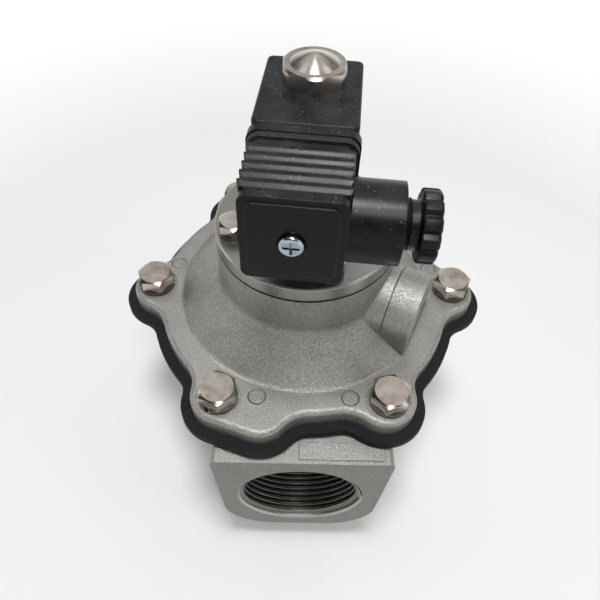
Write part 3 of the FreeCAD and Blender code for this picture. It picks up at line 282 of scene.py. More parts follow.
class StageSettings(PropertyGroup):
    """Floor, lights and camera."""
    floor: colour_property("Floor", "Pale floor", "DCDCDC")
    glow: FloatProperty(name="Glow", default=0.1, min=0,
                        description="White that the eye, gloss and glass see near the part")
    overhead: power_property("Overhead", "Power of the lamp above, narrow for sharp highlights",
                             7.8)
    window: power_property("Window", "Power of the broad soft light above and behind", 1.7)
    fill: power_property("Fill", "Power of each light above to the left and right", 0.45)
    side: power_property("Side", "Power of each light at the side", 0.5)
    front: power_property("Front", "Power of the light above the camera", 3.2)
    room: FloatProperty(name="Room", description="Strength of the light from all round",
                        default=0.14, min=0)
    horizon: FloatProperty(name="Horizon", description="Brightness of the room near the floor",
                           default=1.0, min=0)


def add(tree, kind, inputs=(), settings=None, out=0):
    """One node with its values, links and settings, and its output of that number or name."""
    made = tree.nodes.new(kind)
    for name, value in (settings or {}).items():
        setattr(made, name, value)
    for key, value in inputs.items() if isinstance(inputs, dict) else enumerate(inputs):
        socket = made.inputs[key]
        if isinstance(value, bpy.types.NodeSocket):
            tree.links.new(value, socket)
        elif isinstance(value, str) and socket.type == "RGBA":
            socket.default_value = (*linear(value), 1.0)
        elif socket.type == "RGBA":
            socket.default_value = (*value[:3], 1.0)
        else:
            socket.default_value = value
    return made.outputs[out] if made.outputs else made


def begin(name):
    """Empty material and its socket of object coordinates in metres."""
    material = bpy.data.materials.new(name)
    material.use_nodes = True
    tree = material.node_tree
    tree.nodes.clear()
    return material, tree, add(tree, "ShaderNodeTexCoord", out="Object")


def finished(material, shader):
    """The material with its shader as its surface."""
    add(material.node_tree, "ShaderNodeOutputMaterial", {"Surface": shader})
    return material


def soft_edge(tree, radius):
    """Normal rounded over the edges, and a mask that is one near them."""
    rounded = add(tree, "ShaderNodeBevel", {"Radius": radius}, {"samples": 4})
    plain = add(tree, "ShaderNodeNewGeometry", out="Normal")
    alike = add(tree, VECTOR, [rounded, plain], {"operation": "DOT_PRODUCT"}, "Value")
    return rounded, add(tree, RANGE, [alike, 0.995, 0.93, 0.0, 1.0])


def corner_shade(tree, reach, most):
    """Share of painted shade, up to most, in narrow corners that ambient occlusion finds closed."""
    open_sky = add(tree, "ShaderNodeAmbientOcclusion", {"Distance": reach},
                   {"samples": 4, "only_local": True}, "AO")
    return add(tree, RANGE, [open_sky, 0.85, 0.35, 0.0, most])


def from_axis(tree, where, first, second, second_shift=0.0):
    """Distance from a line, across two numbered coordinates."""
    parts = add(tree, SPLIT, [where]).node.outputs
    across = add(tree, MATH, [parts[first], parts[first]], TIMES)
    up = add(tree, MATH, [parts[second], second_shift], MINUS)
    squares = add(tree, MATH, [across, add(tree, MATH, [up, up], TIMES)], PLUS)
    return add(tree, MATH, [squares], ROOT)


def blasted_aluminium(name, bored=False, marks=()):
    """Cast aluminium after shot blasting: a grey sheen, broken up by a sparkle of tiny hollows."""
    cast = bpy.context.scene.valve_castings
    material, tree, where = begin(name)
    normal, edge = soft_edge(tree, 0.4 * MM)
    # Shot leaves marks of about 0.3 mm. They are drawn at the coarser grain setting, so that they
    # show.
    grain = add(tree, NOISE, {"Vector": where, "Scale": 1 / cast.grain, "Detail": 2.0,
                              "Roughness": 0.75})
    cloud = add(tree, NOISE, {"Vector": where, "Scale": 1 / cast.cloud, "Detail": 5.0,
                              "Roughness": 0.6})
    pore_spacing = 4.5 * MM
    pores = add(tree, CELLS, {"Vector": where, "Scale": 1 / pore_spacing}, out="Distance")
    tone = cast.metal
    for share, colour in ((add(tree, RANGE, [cloud, 0.35, 0.7, 0.0, 0.5]), cast.shade),
                          (add(tree, RANGE, [grain, 0.4, 0.62, 0.5, 0.0]), cast.hollow),
                          (add(tree, RANGE, [pores, 0.05, 0.09, 0.8, 0.0]), cast.hollow),
                          # Lighter along every edge, convex and concave: part wear, part painted
                          # edge highlight.
                          (add(tree, RANGE, [edge, 0.0, 1.0, 0.0, 0.5]), "CFCDC8"),
                          # Painted shade: a dark tone in narrow corners, from ambient occlusion.
                          (corner_shade(tree, 0.9 * MM, 0.85), "35332F")):
        tone = add(tree, MIX, {SHARE: share, UNDER: tone, OVER: colour}, COLOURS, BLEND)
    rough = add(tree, RANGE, [grain, 0.35, 0.65, 0.58, 0.38])
    if marks:
        normal = dished(tree, where, marks, normal)
    bump = add(tree, BUMP, {"Strength": 1.0, "Distance": cast.relief, "Height": grain,
                            "Normal": normal})
    if bored:
        mask = port_walls(tree, where)
        tone = add(tree, MIX, {SHARE: mask, UNDER: tone, OVER: cast.machined}, COLOURS, BLEND)
        rough = add(tree, MIX, {SHARE: mask, NUMBER_UNDER: rough, NUMBER_OVER: 0.3}, NUMBERS)
        # The inlet's milled end is drawn darker, a painted shade, and keeps some of the casting's
        # grain.
        end = add(tree, MATH, [add(tree, SPLIT, [where], out=1), INLET_FACE + FACE_SKIN], BELOW)
        dull = add(tree, MATH, [end, add(tree, RANGE, [grain, 0.35, 0.65, 1.0, 0.55])], TIMES)
        tone = add(tree, MIX, {SHARE: dull, UNDER: tone, OVER: cast.faced}, COLOURS, BLEND)
    return finished(material, add(tree, SURFACE, {"Base Color": tone, "Metallic": 0.9,
                                                  "Roughness": rough, "Normal": bump}))


def dished(tree, where, marks, normal):
    """Normal with the step round each shallow casting mark."""
    flat = add(tree, VECTOR, [where, (1.0, 1.0, 0.0)], {"operation": "MULTIPLY"})
    nearest = 1.0
    for spot in marks:
        away = add(tree, VECTOR, [flat, spot], {"operation": "DISTANCE"}, "Value")
        nearest = add(tree, MATH, [away, nearest], LEAST)
    dish = add(tree, RANGE, [nearest, MARK_RADIUS - MARK_EDGE, MARK_RADIUS + MARK_EDGE, 0.0, 1.0])
    return add(tree, BUMP, {"Strength": 1.0, "Distance": MARK_DEPTH, "Height": dish,
                            "Normal": normal})


def port_walls(tree, where):
    """One inside either port and on the outlet's end face."""
    inlet = from_axis(tree, where, 0, 2, INLET_HEIGHT)
    outlet = from_axis(tree, where, 0, 1)
    parts = add(tree, SPLIT, [where]).node.outputs
    in_front = add(tree, MATH, [parts[1], INLET_FACE + PORT_DEPTH], BELOW)
    low = add(tree, MATH, [parts[2], OUTLET_DEPTH], BELOW)
    near_inlet = add(tree, MATH, [add(tree, MATH, [inlet, PORT_WALL], BELOW), in_front], TIMES)
    near_outlet = add(tree, MATH, [add(tree, MATH, [outlet, PORT_WALL], BELOW), low], TIMES)
    face = add(tree, MATH, [parts[2], FACE_SKIN], BELOW)
    return add(tree, MATH, [add(tree, MATH, [near_inlet, near_outlet], MOST), face], MOST)


def turned_aluminium(name, first, second):
    """Lathe-cut aluminium, brighter than the casting: fine tool lines, wear and painted highlight
    on edges.
    """
    material, tree, where = begin(name)
    normal, edge = soft_edge(tree, 0.3 * MM)
    # The tool's feed is drawn as it is.
    feed = 0.5 * MM
    lines = add(tree, NOISE, {"Vector": where, "Scale": 1 / feed, "Detail": 2.0,
                              "Roughness": 0.55})
    between = add(tree, RANGE, [lines, 0.35, 0.65, 0.0, 0.6])
    tone = add(tree, MIX, {SHARE: between, UNDER: first, OVER: second}, COLOURS, BLEND)
    # Lighter along every edge: part wear, part painted edge highlight.
    worn = add(tree, RANGE, [edge, 0.0, 1.0, 0.0, 0.6])
    tone = add(tree, MIX, {SHARE: worn, UNDER: tone, OVER: "D9D8D3"}, COLOURS, BLEND)
    bump = add(tree, BUMP, {"Strength": 0.5, "Distance": 0.05 * MM, "Height": lines,
                            "Normal": normal})
    rough = add(tree, RANGE, [lines, 0.3, 0.7, 0.26, 0.42])
    return finished(material, add(tree, SURFACE, {"Base Color": tone, "Metallic": 1.0,
                                                  "Roughness": rough, "Normal": bump}))


def cold_formed_metal(name, bright, dark, roughness):
    """Metal headed, rolled or drawn cold: clean bright faces, crisp edges lightened by wear and a
    painted highlight, faint rubs.
    """
    material, tree, where = begin(name)
    edge = soft_edge(tree, 0.12 * MM)[1]
    rub_size, stain_size = 1.6 * MM, 5 * MM
    rub = add(tree, NOISE, {"Vector": where, "Scale": 1 / rub_size, "Detail": 4.0,
                            "Roughness": 0.6})
    stain = add(tree, NOISE, {"Vector": where, "Scale": 1 / stain_size, "Detail": 3.0})
    handled = add(tree, RANGE, [stain, 0.38, 0.68, 0.0, 0.8])
    tone = add(tree, MIX, {SHARE: handled, UNDER: bright, OVER: dark}, COLOURS, BLEND)
    # Near white along every edge: part wear, part painted edge highlight.
    worn = add(tree, RANGE, [edge, 0.0, 1.0, 0.0, 0.7])
    tone = add(tree, MIX, {SHARE: worn, UNDER: tone, OVER: "EFEDE9"}, COLOURS, BLEND)
    bump = add(tree, BUMP, {"Strength": 0.1, "Distance": 0.01 * MM, "Height": rub})
    rough = add(tree, RANGE, [rub, 0.3, 0.7, roughness, roughness + 0.06])
    return finished(material, add(tree, SURFACE, {"Base Color": tone, "Metallic": 1.0,
                                                  "Roughness": rough, "Normal": bump}))


def turned_steel(name):
    """Nut turned from bar: fine grooves round the axis draw the light out to wedges on its dome."""
    look = bpy.context.scene.valve_steels
    material, tree, where = begin(name)
    edge = soft_edge(tree, 0.22 * MM)[1]
    # The tool's feed of about 0.1 mm is drawn coarser, so that it shows.
    feed = 0.35 * MM
    off_axis = from_axis(tree, where, 0, 1)
    wave = add(tree, MATH, [off_axis, 2 * math.pi / feed], TIMES)
    lines = add(tree, MATH, [wave], SINE)
    stain_size = 6 * MM
    stain = add(tree, NOISE, {"Vector": where, "Scale": 1 / stain_size, "Detail": 3.0})
    handled = add(tree, RANGE, [stain, 0.3, 0.7, 0.0, 1.0])
    tone = add(tree, MIX, {SHARE: handled, UNDER: look.nut, OVER: look.nut_shade}, COLOURS, BLEND)
    # Near white along every edge: part wear, part painted edge highlight.
    worn = add(tree, RANGE, [edge, 0.0, 1.0, 0.0, 0.6])
    tone = add(tree, MIX, {SHARE: worn, UNDER: tone, OVER: "F0EEEA"}, COLOURS, BLEND)
    bump = add(tree, BUMP, {"Strength": 0.1, "Distance": 0.01 * MM, "Height": lines})
    # The dome's grooves run round the axis, so a quarter turn stretches the light across them. The
    # rim and the drawn flats have a plain gloss.
    fade = 0.1 * MM
    stretch = add(tree, RANGE, [off_axis, DOME_RADIUS - fade, DOME_RADIUS + fade, 0.7, 0.0])
    around = add(tree, "ShaderNodeTangent", (), {"direction_type": "RADIAL", "axis": "Z"})
    return finished(material, add(tree, SURFACE, {"Base Color": tone, "Metallic": 1.0,
                                                  "Roughness": 0.24, "Anisotropic": stretch,
                                                  "Anisotropic Rotation": 0.25,
                                                  "Tangent": around, "Normal": bump}))


def woven_rubber(name):
    """Nitrile rubber pressed on nylon cloth: matt black, with a weave of tiny lighter dots."""
    material, tree, where = begin(name)
    parts = add(tree, SPLIT, [where]).node.outputs
    # Threads are about 0.5 mm apart, and are drawn a little coarser, so that they show.
    thread_spacing = 0.6 * MM
    step = math.pi / thread_spacing
    warp = add(tree, MATH, [add(tree, MATH, [parts[0], parts[1]], PLUS), step], TIMES)
    weft = add(tree, MATH, [add(tree, MATH, [parts[0], parts[1]], MINUS), step], TIMES)
    weave = add(tree, MATH, [add(tree, MATH, [warp], SINE), add(tree, MATH, [weft], SINE)], TIMES)
    # The cut edge shows no weave.
    facing = add(tree, SPLIT, [add(tree, "ShaderNodeNewGeometry", out="Normal")], out=2)
    weave = add(tree, MATH, [weave, add(tree, MATH, [facing, facing], TIMES)], TIMES)
    patch_size = 4 * MM
    worn = add(tree, NOISE, {"Vector": where, "Scale": 1 / patch_size, "Detail": 4.0})
    dots = add(tree, RANGE, [weave, -0.2, 1.0, 0.0, 1.0])
    tone = add(tree, MIX, {SHARE: dots, UNDER: "09090B", OVER: "333336"}, COLOURS, BLEND)
    patches = add(tree, RANGE, [worn, 0.55, 0.8, 0.0, 0.3])
    tone = add(tree, MIX, {SHARE: patches, UNDER: tone, OVER: "353538"}, COLOURS, BLEND)
    bump = add(tree, BUMP, {"Strength": 0.9, "Distance": 0.1 * MM, "Height": weave})
    rough = add(tree, RANGE, [worn, 0.3, 0.7, 0.62, 0.8])
    return finished(material, add(tree, SURFACE, {"Base Color": tone, "Roughness": rough,
                                                  "Specular IOR Level": 0.2, "Normal": bump}))


def black_nylon(name, roughness, dusty=1.0, softness=0.35 * MM):
    """Moulded glass-filled nylon: fine eroded texture, soft highlights, dust specks, and a grey
    film on what faces up that is part dust, part painted sheen.
    """
    look = bpy.context.scene.valve_plastics
    material, tree, where = begin(name)
    normal, edge = soft_edge(tree, softness)
    # An eroded mould's texture is about 0.1 mm fine, and is drawn coarser, so that it shows.
    texture_size, smear_size = 0.45 * MM, 9 * MM
    texture = add(tree, NOISE, {"Vector": where, "Scale": 1 / texture_size, "Detail": 2.0})
    smear = add(tree, NOISE, {"Vector": where, "Scale": 1 / smear_size, "Detail": 5.0,
                              "Roughness": 0.65})
    cells = add(tree, CELLS, {"Vector": where, "Scale": 1 / look.speck}).node.outputs
    chosen = add(tree, SPLIT, [cells["Color"]])
    facing = add(tree, SPLIT, [add(tree, "ShaderNodeNewGeometry", out="Normal")], out=2)
    speck = add(tree, MATH, [add(tree, RANGE, [cells["Distance"], 0.2, 0.12, 0.0, 1.0]),
                             add(tree, RANGE, [chosen, 0.65, 1.0, 0.0, 0.8])], TIMES)
    speck = add(tree, MATH, [speck, add(tree, RANGE, [facing, 0.1, 0.8, 0.0, dusty])], TIMES)
    # Grey film on what faces up, in smears: part dust, part painted sheen.
    film = add(tree, MATH, [add(tree, RANGE, [facing, 0.3, 1.0, 0.0, 0.7]),
                            add(tree, RANGE, [smear, 0.35, 0.68, 0.1, 1.0])], TIMES)
    # Lighter along every edge: part wear, part painted edge highlight.
    worn = add(tree, RANGE, [edge, 0.0, 1.0, 0.0, 0.25])
    tone = look.black
    for share, colour in ((film, look.film), (worn, "3C3D3F"), (speck, look.dust)):
        tone = add(tree, MIX, {SHARE: share, UNDER: tone, OVER: colour}, COLOURS, BLEND)
    rough = add(tree, RANGE, [smear, 0.3, 0.7, roughness, roughness + 0.1])
    bump = add(tree, BUMP, {"Strength": 0.18, "Distance": 0.05 * MM, "Height": texture,
                            "Normal": normal})
    return finished(material, add(tree, SURFACE, {"Base Color": tone, "Roughness": rough,
                                                  "Specular IOR Level": 0.18, "Normal": bump}))


def moulded_rubber(name):
    """Plain nitrile seal: dull black, clouded by mould bloom."""
    material, tree, where = begin(name)
    bloom_size = 2 * MM
    bloom = add(tree, NOISE, {"Vector": where, "Scale": 1 / bloom_size, "Detail": 4.0})
    clouds = add(tree, RANGE, [bloom, 0.4, 0.8, 0.0, 1.0])
    tone = add(tree, MIX, {SHARE: clouds, UNDER: "111112", OVER: "29292B"}, COLOURS, BLEND)
    bump = add(tree, BUMP, {"Strength": 0.2, "Distance": 0.05 * MM, "Height": bloom})
    rough = add(tree, RANGE, [bloom, 0.3, 0.7, 0.6, 0.75])
    return finished(material, add(tree, SURFACE, {"Base Color": tone, "Roughness": rough,
                                                  "Normal": bump}))


def wound_copper(name):
    """Enamelled copper wire, wound: warm bright turns, with painted shade as dark lines between
    them.
    """
    material, tree, where = begin(name)
    # Wire of about 0.2 mm is drawn thicker, so that its turns show.
    wire = 0.5 * MM
    height = add(tree, SPLIT, [where], out=2)
    turns = add(tree, MATH, [add(tree, MATH, [height, 2 * math.pi / wire], TIMES)], SINE)
    # Painted shade: the tone darkens from each turn's crown to the line between turns.
    crown = add(tree, RANGE, [turns, -1.0, 1.0, 0.0, 1.0])
    tone = add(tree, MIX, {SHARE: crown, UNDER: "7A3F22", OVER: "C07A4B"}, COLOURS, BLEND)
    bump = add(tree, BUMP, {"Strength": 0.8, "Distance": 0.2 * MM, "Height": turns})
    rough = add(tree, RANGE, [turns, -1.0, 1.0, 0.45, 0.25])
    return finished(material, add(tree, SURFACE, {"Base Color": tone, "Metallic": 1.0,
                                                  "Roughness": rough, "Coat Weight": 0.5,
                                                  "Normal": bump}))


def give(material, *names):
    """The material becomes the only one of each CAD node."""
    for name in names:
        mesh = NODES[name].data
        mesh.materials.clear()
        mesh.materials.append(material)


def skin(name, rows, closed=False):
    """Object over rows of points, each a closed loop. Its ends are capped, or joined if closed."""
    work = bmesh.new()
    loops = [[work.verts.new(point) for point in row] for row in rows]
    if closed:
        loops.append(loops[0])
    else:
        work.faces.new(loops[0])
        work.faces.new(loops[-1])
    for lower, upper in zip(loops, loops[1:]):
        for here in range(len(lower)):
            there = (here + 1) % len(lower)
            work.faces.new((lower[here], lower[there], upper[there], upper[here]))
    bmesh.ops.recalc_face_normals(work, faces=work.faces)
    mesh = bpy.data.meshes.new(name)
    work.to_mesh(mesh)
    work.free()
    return bpy.data.objects.new(name, mesh)


def turned_rows(stations, around, reach):
    """Rows for skin() round the Z axis, one for each station's height, radius and kind. Reach turns
    a kind, radius, height and turn into the point's own radius and height."""
    rows = []
    for height, radius, kind in stations:
        row = []
        for turn in (2 * math.pi * step / around for step in range(around)):
            far, high = reach(kind, radius, height, turn)
            row.append((far * math.cos(turn), far * math.sin(turn), high))
        rows.append(row)
    return rows


def six_sides(turn, flats):
    """Radius of a hexagon with a corner at turn zero."""
    return flats / 2 / math.cos(turn % (math.pi / 3) - math.pi / 6)


def groove(height, turn, pitch, depth):
    """Depth of a right-hand thread's groove at a height and turn."""
    phase = (height / pitch - turn / (2 * math.pi)) % 1.0
    return depth * abs(2 * phase - 1)


def evenly(low, high, count):
    """Numbers from low to high in that many equal steps."""
    return [low + (high - low) * step / count for step in range(count + 1)]


def polar(radius, angle, height=0.0):
    """Point at an angle from the inlet side, in degrees."""
    turn = math.radians(angle)
    return radius * math.sin(turn), -radius * math.cos(turn), height


def bolt(name, size, thread):
    """Hexagon bolt, head upward from height zero: chamfered head, shank, rolled thread and tip."""
    flats, head, radius, length = (size[key] for key in ("flats", "head", "radius", "length"))

    def reach(kind, given, height, turn):
        if kind == "six sides":
            return six_sides(turn, flats), height
        if kind == "chamfer":
            far = six_sides(turn, flats)
            return far, height - (far - size["disc"]) / CHAMFER_SPREAD
        if kind == "thread":
            return given - groove(height, turn, thread.bolt_pitch, thread.bolt_depth), height
        return given, height

    tip, thread_end = -length, size["thread"] - length
    stations = [(tip, radius - TIP_CHAMFER, "plain")]
    stations += [(height, radius, "thread")
                 for height in evenly(tip + TIP_CHAMFER / 2, thread_end, BOLT_ROWS)]
    stations += [(thread_end + thread.bolt_depth, radius, "plain"), (0.0, radius, "plain"),
                 (0.0, 0.0, "six sides"), (head, 0.0, "chamfer"), (head, size["disc"], "plain")]
    return skin(name, turned_rows(stations, BOLT_AROUND, reach))


def dome_nut(name):
    """Dome nut from height zero: blind bore, trimmed and chamfered hexagon, flat rim, low dome."""
    def reach(kind, given, height, turn):
        far = min(six_sides(turn, NUT_FLATS), NUT_CORNER)
        if kind == "six sides":
            return far, height
        if kind == "chamfer":
            return far, height - (far - NUT_RIM)
        return given, height

    stations = [(NUT_BLIND, NUT_BLIND_TIP, "bore"), (NUT_BLIND, NUT_BORE, "bore"),
                (0.0, NUT_BORE, "bore"), (0.0, 0.0, "six sides"), (NUT_HEIGHT, 0.0, "chamfer"),
                (NUT_HEIGHT, NUT_RIM, "rim")]
    for share in evenly(1.0, DOME_TIP, DOME_ROWS):
        rise = DOME_RISE * (1 - share ** DOME_CURVE)
        stations.append((NUT_HEIGHT + rise, DOME_RADIUS * share, "dome"))
    return skin(name, turned_rows(stations, NUT_AROUND, reach))


def gland_nut(name, thread):
    """Gland nut along its axis: cable bore, thread, neck, and a notched head with rounded rims."""
    start, thread_end = GLAND_THREAD
    head_start, head_end = GLAND_HEAD

    def reach(kind, given, height, turn):
        if kind == "thread":
            return given - groove(height, turn, thread.gland_pitch, thread.gland_depth), height
        if kind == "notched":
            dip = max(0.0, math.cos(thread.gland_notches * turn)) ** NOTCH_CURVE
            return given - dip * thread.gland_notch_depth, height
        return given, height

    stations = [(start, GLAND_BORE, "bore")]
    stations += [(height, GLAND_CORE, "thread") for height in evenly(start, thread_end, GLAND_ROWS)]
    stations += [(thread_end, GLAND_NECK, "plain"),
                 (thread_end + GLAND_NECK_EDGE, GLAND_NECK, "plain"),
                 (head_start - GLAND_FILLET, GLAND_NECK, "plain"),
                 (head_start, GLAND_NECK + GLAND_FILLET, "plain")]
    for lean in evenly(-math.pi / 2, 0.0, BACK_RIM_ROWS):
        stations.append((head_start + GLAND_BACK_RIM * (1 + math.sin(lean)),
                         GLAND_OUTER - GLAND_BACK_RIM * (1 - math.cos(lean)), "notched"))
    for lean in evenly(0.0, math.pi / 2, RIM_ROWS):
        stations.append((head_end - GLAND_RIM * (1 - math.sin(lean)),
                         GLAND_OUTER - GLAND_RIM * (1 - math.cos(lean)), "notched"))
    stations += [(head_end - depth, GLAND_BORE + width, "bore") for depth, width in GLAND_MOUTH]
    around = thread.gland_notches * NOTCH_STEPS
    return skin(name, turned_rows(stations, around, reach), closed=True)


def rib(name):
    """Rounded rib that goes up one side, over the top and down the other side."""
    # Across, up, and which way the crest stands out there.
    path = [(-RIB_HALF_WIDTH, RIB_FOOT, -1.0, 0.0), (-RIB_HALF_WIDTH, RIB_TOP, -1.0, 1.0),
            (RIB_HALF_WIDTH, RIB_TOP, 1.0, 1.0), (RIB_HALF_WIDTH, RIB_FOOT, 1.0, 0.0)]
    rows = []
    for across, up, sideways, upward in path:
        row = []
        for along in evenly(-RIB_PITCH / 2, RIB_PITCH / 2, RIB_STEPS):
            swell = 0.5 + 0.5 * math.cos(2 * math.pi * along / RIB_PITCH)
            row.append((across + sideways * (RIB_SIDE_CREST * swell - RIB_SINK), along,
                        up + upward * (RIB_CREST * swell - RIB_SINK)))
        for along in (RIB_PITCH / 2, -RIB_PITCH / 2):
            row.append((across - sideways * RIB_ROOT, along, up - upward * RIB_ROOT))
        rows.append(row)
    return skin(name, rows)


def named_inputs(tree, **inputs):
    """Adds the tree's inputs and its output, and gives the inputs' identifiers by name."""
    sockets = {}
    for name, kind in inputs.items():
        made = tree.interface.new_socket(name, in_out="INPUT", socket_type="NodeSocket" + kind)
        sockets[name] = made.identifier
    tree.interface.new_socket("Geometry", in_out="OUTPUT", socket_type="NodeSocketGeometry")
    return sockets


def close_tree(tree, geometry, finish):
    """Ends a geometry tree: instances made real, material set, output."""
    real = add(tree, "GeometryNodeRealizeInstances", [geometry])
    painted = add(tree, "GeometryNodeSetMaterial", {"Geometry": real, "Material": finish})
    add(tree, "NodeGroupOutput", [painted])


def ridge_tree():
    """Geometry nodes for a helical ridge of trapezoid section."""
    tree = bpy.data.node_groups.new("Thread ridge", "GeometryNodeTree")
    sockets = named_inputs(tree, Radius="Float", Pitch="Float", Turns="Float", Depth="Float",
                           Finish="Material")
    given = add(tree, "NodeGroupInput").node.outputs
    height = add(tree, MATH, [given["Pitch"], given["Turns"]], TIMES)
    spiral = add(tree, "GeometryNodeCurveSpiral",
                 {"Resolution": RIDGE_STEPS, "Rotations": given["Turns"], "Height": height,
                  "Start Radius": given["Radius"], "End Radius": given["Radius"],
                  "Reverse": False})
    upright = add(tree, "GeometryNodeSetCurveNormal", {"Curve": spiral}, {"mode": "Z_UP"})
    section = add(tree, "GeometryNodeCurvePrimitiveQuadrilateral",
                  {"Height": given["Depth"],
                   "Bottom Width": add(tree, MATH, [given["Pitch"], RIDGE_ROOT], TIMES),
                   "Top Width": add(tree, MATH, [given["Pitch"], RIDGE_CREST], TIMES),
                   "Offset": 0.0},
                  {"mode": "TRAPEZOID"})
    rise = add(tree, MATH, [given["Depth"], 0.5], TIMES)
    raised = add(tree, "GeometryNodeTransform",
                 {"Geometry": section, "Translation": add(tree, JOIN, {1: rise})})
    inward = add(tree, "GeometryNodeTransform", {"Geometry": raised,
                                                 "Rotation": (0.0, 0.0, -math.pi / 2)})
    ridge = add(tree, "GeometryNodeCurveToMesh",
                {"Curve": upright, "Profile Curve": inward, "Fill Caps": True})
    close_tree(tree, ridge, given["Finish"])
    return tree, sockets


def repeat_tree():
    """Geometry nodes that set a piece on every point, turned by the point's own angle."""
    tree = bpy.data.node_groups.new("Repeated piece", "GeometryNodeTree")
    sockets = named_inputs(tree, Points="Geometry", Piece="Object", Finish="Material")
    given = add(tree, "NodeGroupInput").node.outputs
    piece = add(tree, "GeometryNodeObjectInfo", {"Object": given["Piece"]}, out="Geometry")
    turn = add(tree, "GeometryNodeInputNamedAttribute", {"Name": "turn"}, {"data_type": "FLOAT"},
               "Attribute")
    upright = add(tree, JOIN, {2: turn})
    spread = add(tree, "GeometryNodeInstanceOnPoints",
                 {"Points": given["Points"], "Instance": piece, "Rotation": upright})
    close_tree(tree, spread, given["Finish"])
    return tree, sockets


def grow(name, tree_and_sockets, values, place, body, spots=()):
    """Mesh piece from a tree, its inputs and its points, set in place and riding on a body."""
    tree, sockets = tree_and_sockets
    points = bpy.data.meshes.new(name + "_points")
    points.from_pydata([spot[:3] for spot in spots], [], [])
    turns = points.attributes.new("turn", "FLOAT", "POINT")
    for item, spot in zip(turns.data, spots):
        item.value = math.radians(spot[3])
    holder = bpy.data.objects.new(name + "_source", points)
    bpy.context.scene.collection.objects.link(holder)
    modifier = holder.modifiers.new("Shape", "NODES")
    modifier.node_group = tree
    for key, value in values.items():
        modifier[sockets[key]] = value
    evaluated = holder.evaluated_get(bpy.context.evaluated_depsgraph_get())
    mesh = bpy.data.meshes.new_from_object(evaluated)
    holder.modifiers.remove(modifier)
    bpy.data.objects.remove(holder)
    mesh.name = name
    work = bmesh.new()
    work.from_mesh(mesh)
    bmesh.ops.remove_doubles(work, verts=work.verts, dist=MERGE_DISTANCE)
    bmesh.ops.recalc_face_normals(work, faces=work.faces)
    work.to_mesh(mesh)
    work.free()
    return settle(bpy.data.objects.new(name, mesh), place, body)


def settle(piece, place, body, angle=SHARP_ANGLE):
    """Puts the piece's mesh in place and shades it smooth between sharp edges. It rides a body."""
    piece.data.transform(place)
    piece.data.shade_smooth()
    piece.data.set_sharp_from_angle(angle=angle)
    bpy.context.scene.collection.objects.link(piece)
    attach(piece, body)
    return piece


class VALVE_OT_castings(Operator):
    """Blasted aluminium on the body and the bonnet, turned aluminium on the pilot plate"""
    bl_idname = "valve.castings"
    bl_label = "Finish the castings"

    def execute(self, context):
        cast = context.scene.valve_castings
        give(blasted_aluminium("Blasted aluminium, bored ports", bored=True), "valve_body")
        marks = [polar(MARK_CIRCLE, angle) for angle in MARK_ANGLES]
        give(blasted_aluminium("Blasted aluminium", marks=marks), "bonnet")
        give(turned_aluminium("Turned aluminium", cast.turned, cast.turned_shade), "pilot_plate")
        return {"FINISHED"}


class VALVE_OT_threads(Operator):
    """Helical threads in the two ports"""
    bl_idname = "valve.threads"
    bl_label = "Cut the threads"

    def execute(self, context):
        cast = context.scene.valve_castings
        thread = context.scene.valve_threads
        ridge = ridge_tree()
        # The threads are drawn darker than the bored wall: a painted shade of the deep bore.
        port = {"Radius": PORT_RADIUS + RIDGE_SINK, "Pitch": thread.port_pitch,
                "Turns": thread.port_turns, "Depth": thread.port_depth,
                "Finish": turned_aluminium("Threaded aluminium", cast.thread_shade, cast.hollow)}
        into_inlet = (Matrix.Translation((0, INLET_FACE + PORT_MOUTH, INLET_HEIGHT))
                      @ Matrix.Rotation(-math.pi / 2, 4, "X"))
        grow("inlet_thread", ridge, port, into_inlet, "valve")
        into_outlet = Matrix.Translation((0, 0, PORT_MOUTH))
        grow("outlet_thread", ridge, port, into_outlet, "valve")
        return {"FINISHED"}


class VALVE_OT_bolts(Operator):
    """Hexagon bolts of the bonnet and the pilot plate, with their washers' finish"""
    bl_idname = "valve.bolts"
    bl_label = "Set the bolts"

    def execute(self, context):
        look = context.scene.valve_steels
        steel = cold_formed_metal("Cold-headed stainless", look.bolt, look.bolt_shade, 0.16)
        repeat = repeat_tree()
        for node, size in (("bonnet_bolts", BONNET_BOLTS), ("plate_bolts", PLATE_BOLTS)):
            single = bolt(node + "_single", size, context.scene.valve_threads)
            spots = [(*polar(size["circle"], angle, size["seat"]), turn)
                     for angle, turn in size["spots"]]
            made = grow(node + "_set", repeat, {"Piece": single, "Finish": steel},
                        Matrix.Identity(4), "valve", spots)
            bpy.data.objects.remove(single)
            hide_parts(node)
            give(steel, node)
        give(cold_formed_metal("Spring steel, rolled flat", look.washer, look.washer_shade, 0.3),
             "bonnet_washers", "plate_washers")
        return {"FINISHED"}


class VALVE_OT_dome_nut(Operator):
    """Nut on top of the coil: trimmed corners, flat rim and a low dome"""
    bl_idname = "valve.dome_nut"
    bl_label = "Turn the dome nut"

    def execute(self, context):
        nut = dome_nut("dome_nut_body")
        steel = turned_steel("Turned stainless")
        nut.data.materials.append(steel)
        place = Matrix.Translation((0, 0, NUT_BASE)) @ Matrix.Rotation(math.pi / 2, 4, "Z")
        settle(nut, place, "valve", NUT_SHARP_ANGLE)
        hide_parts("dome_nut")
        give(steel, "dome_nut")
        return {"FINISHED"}


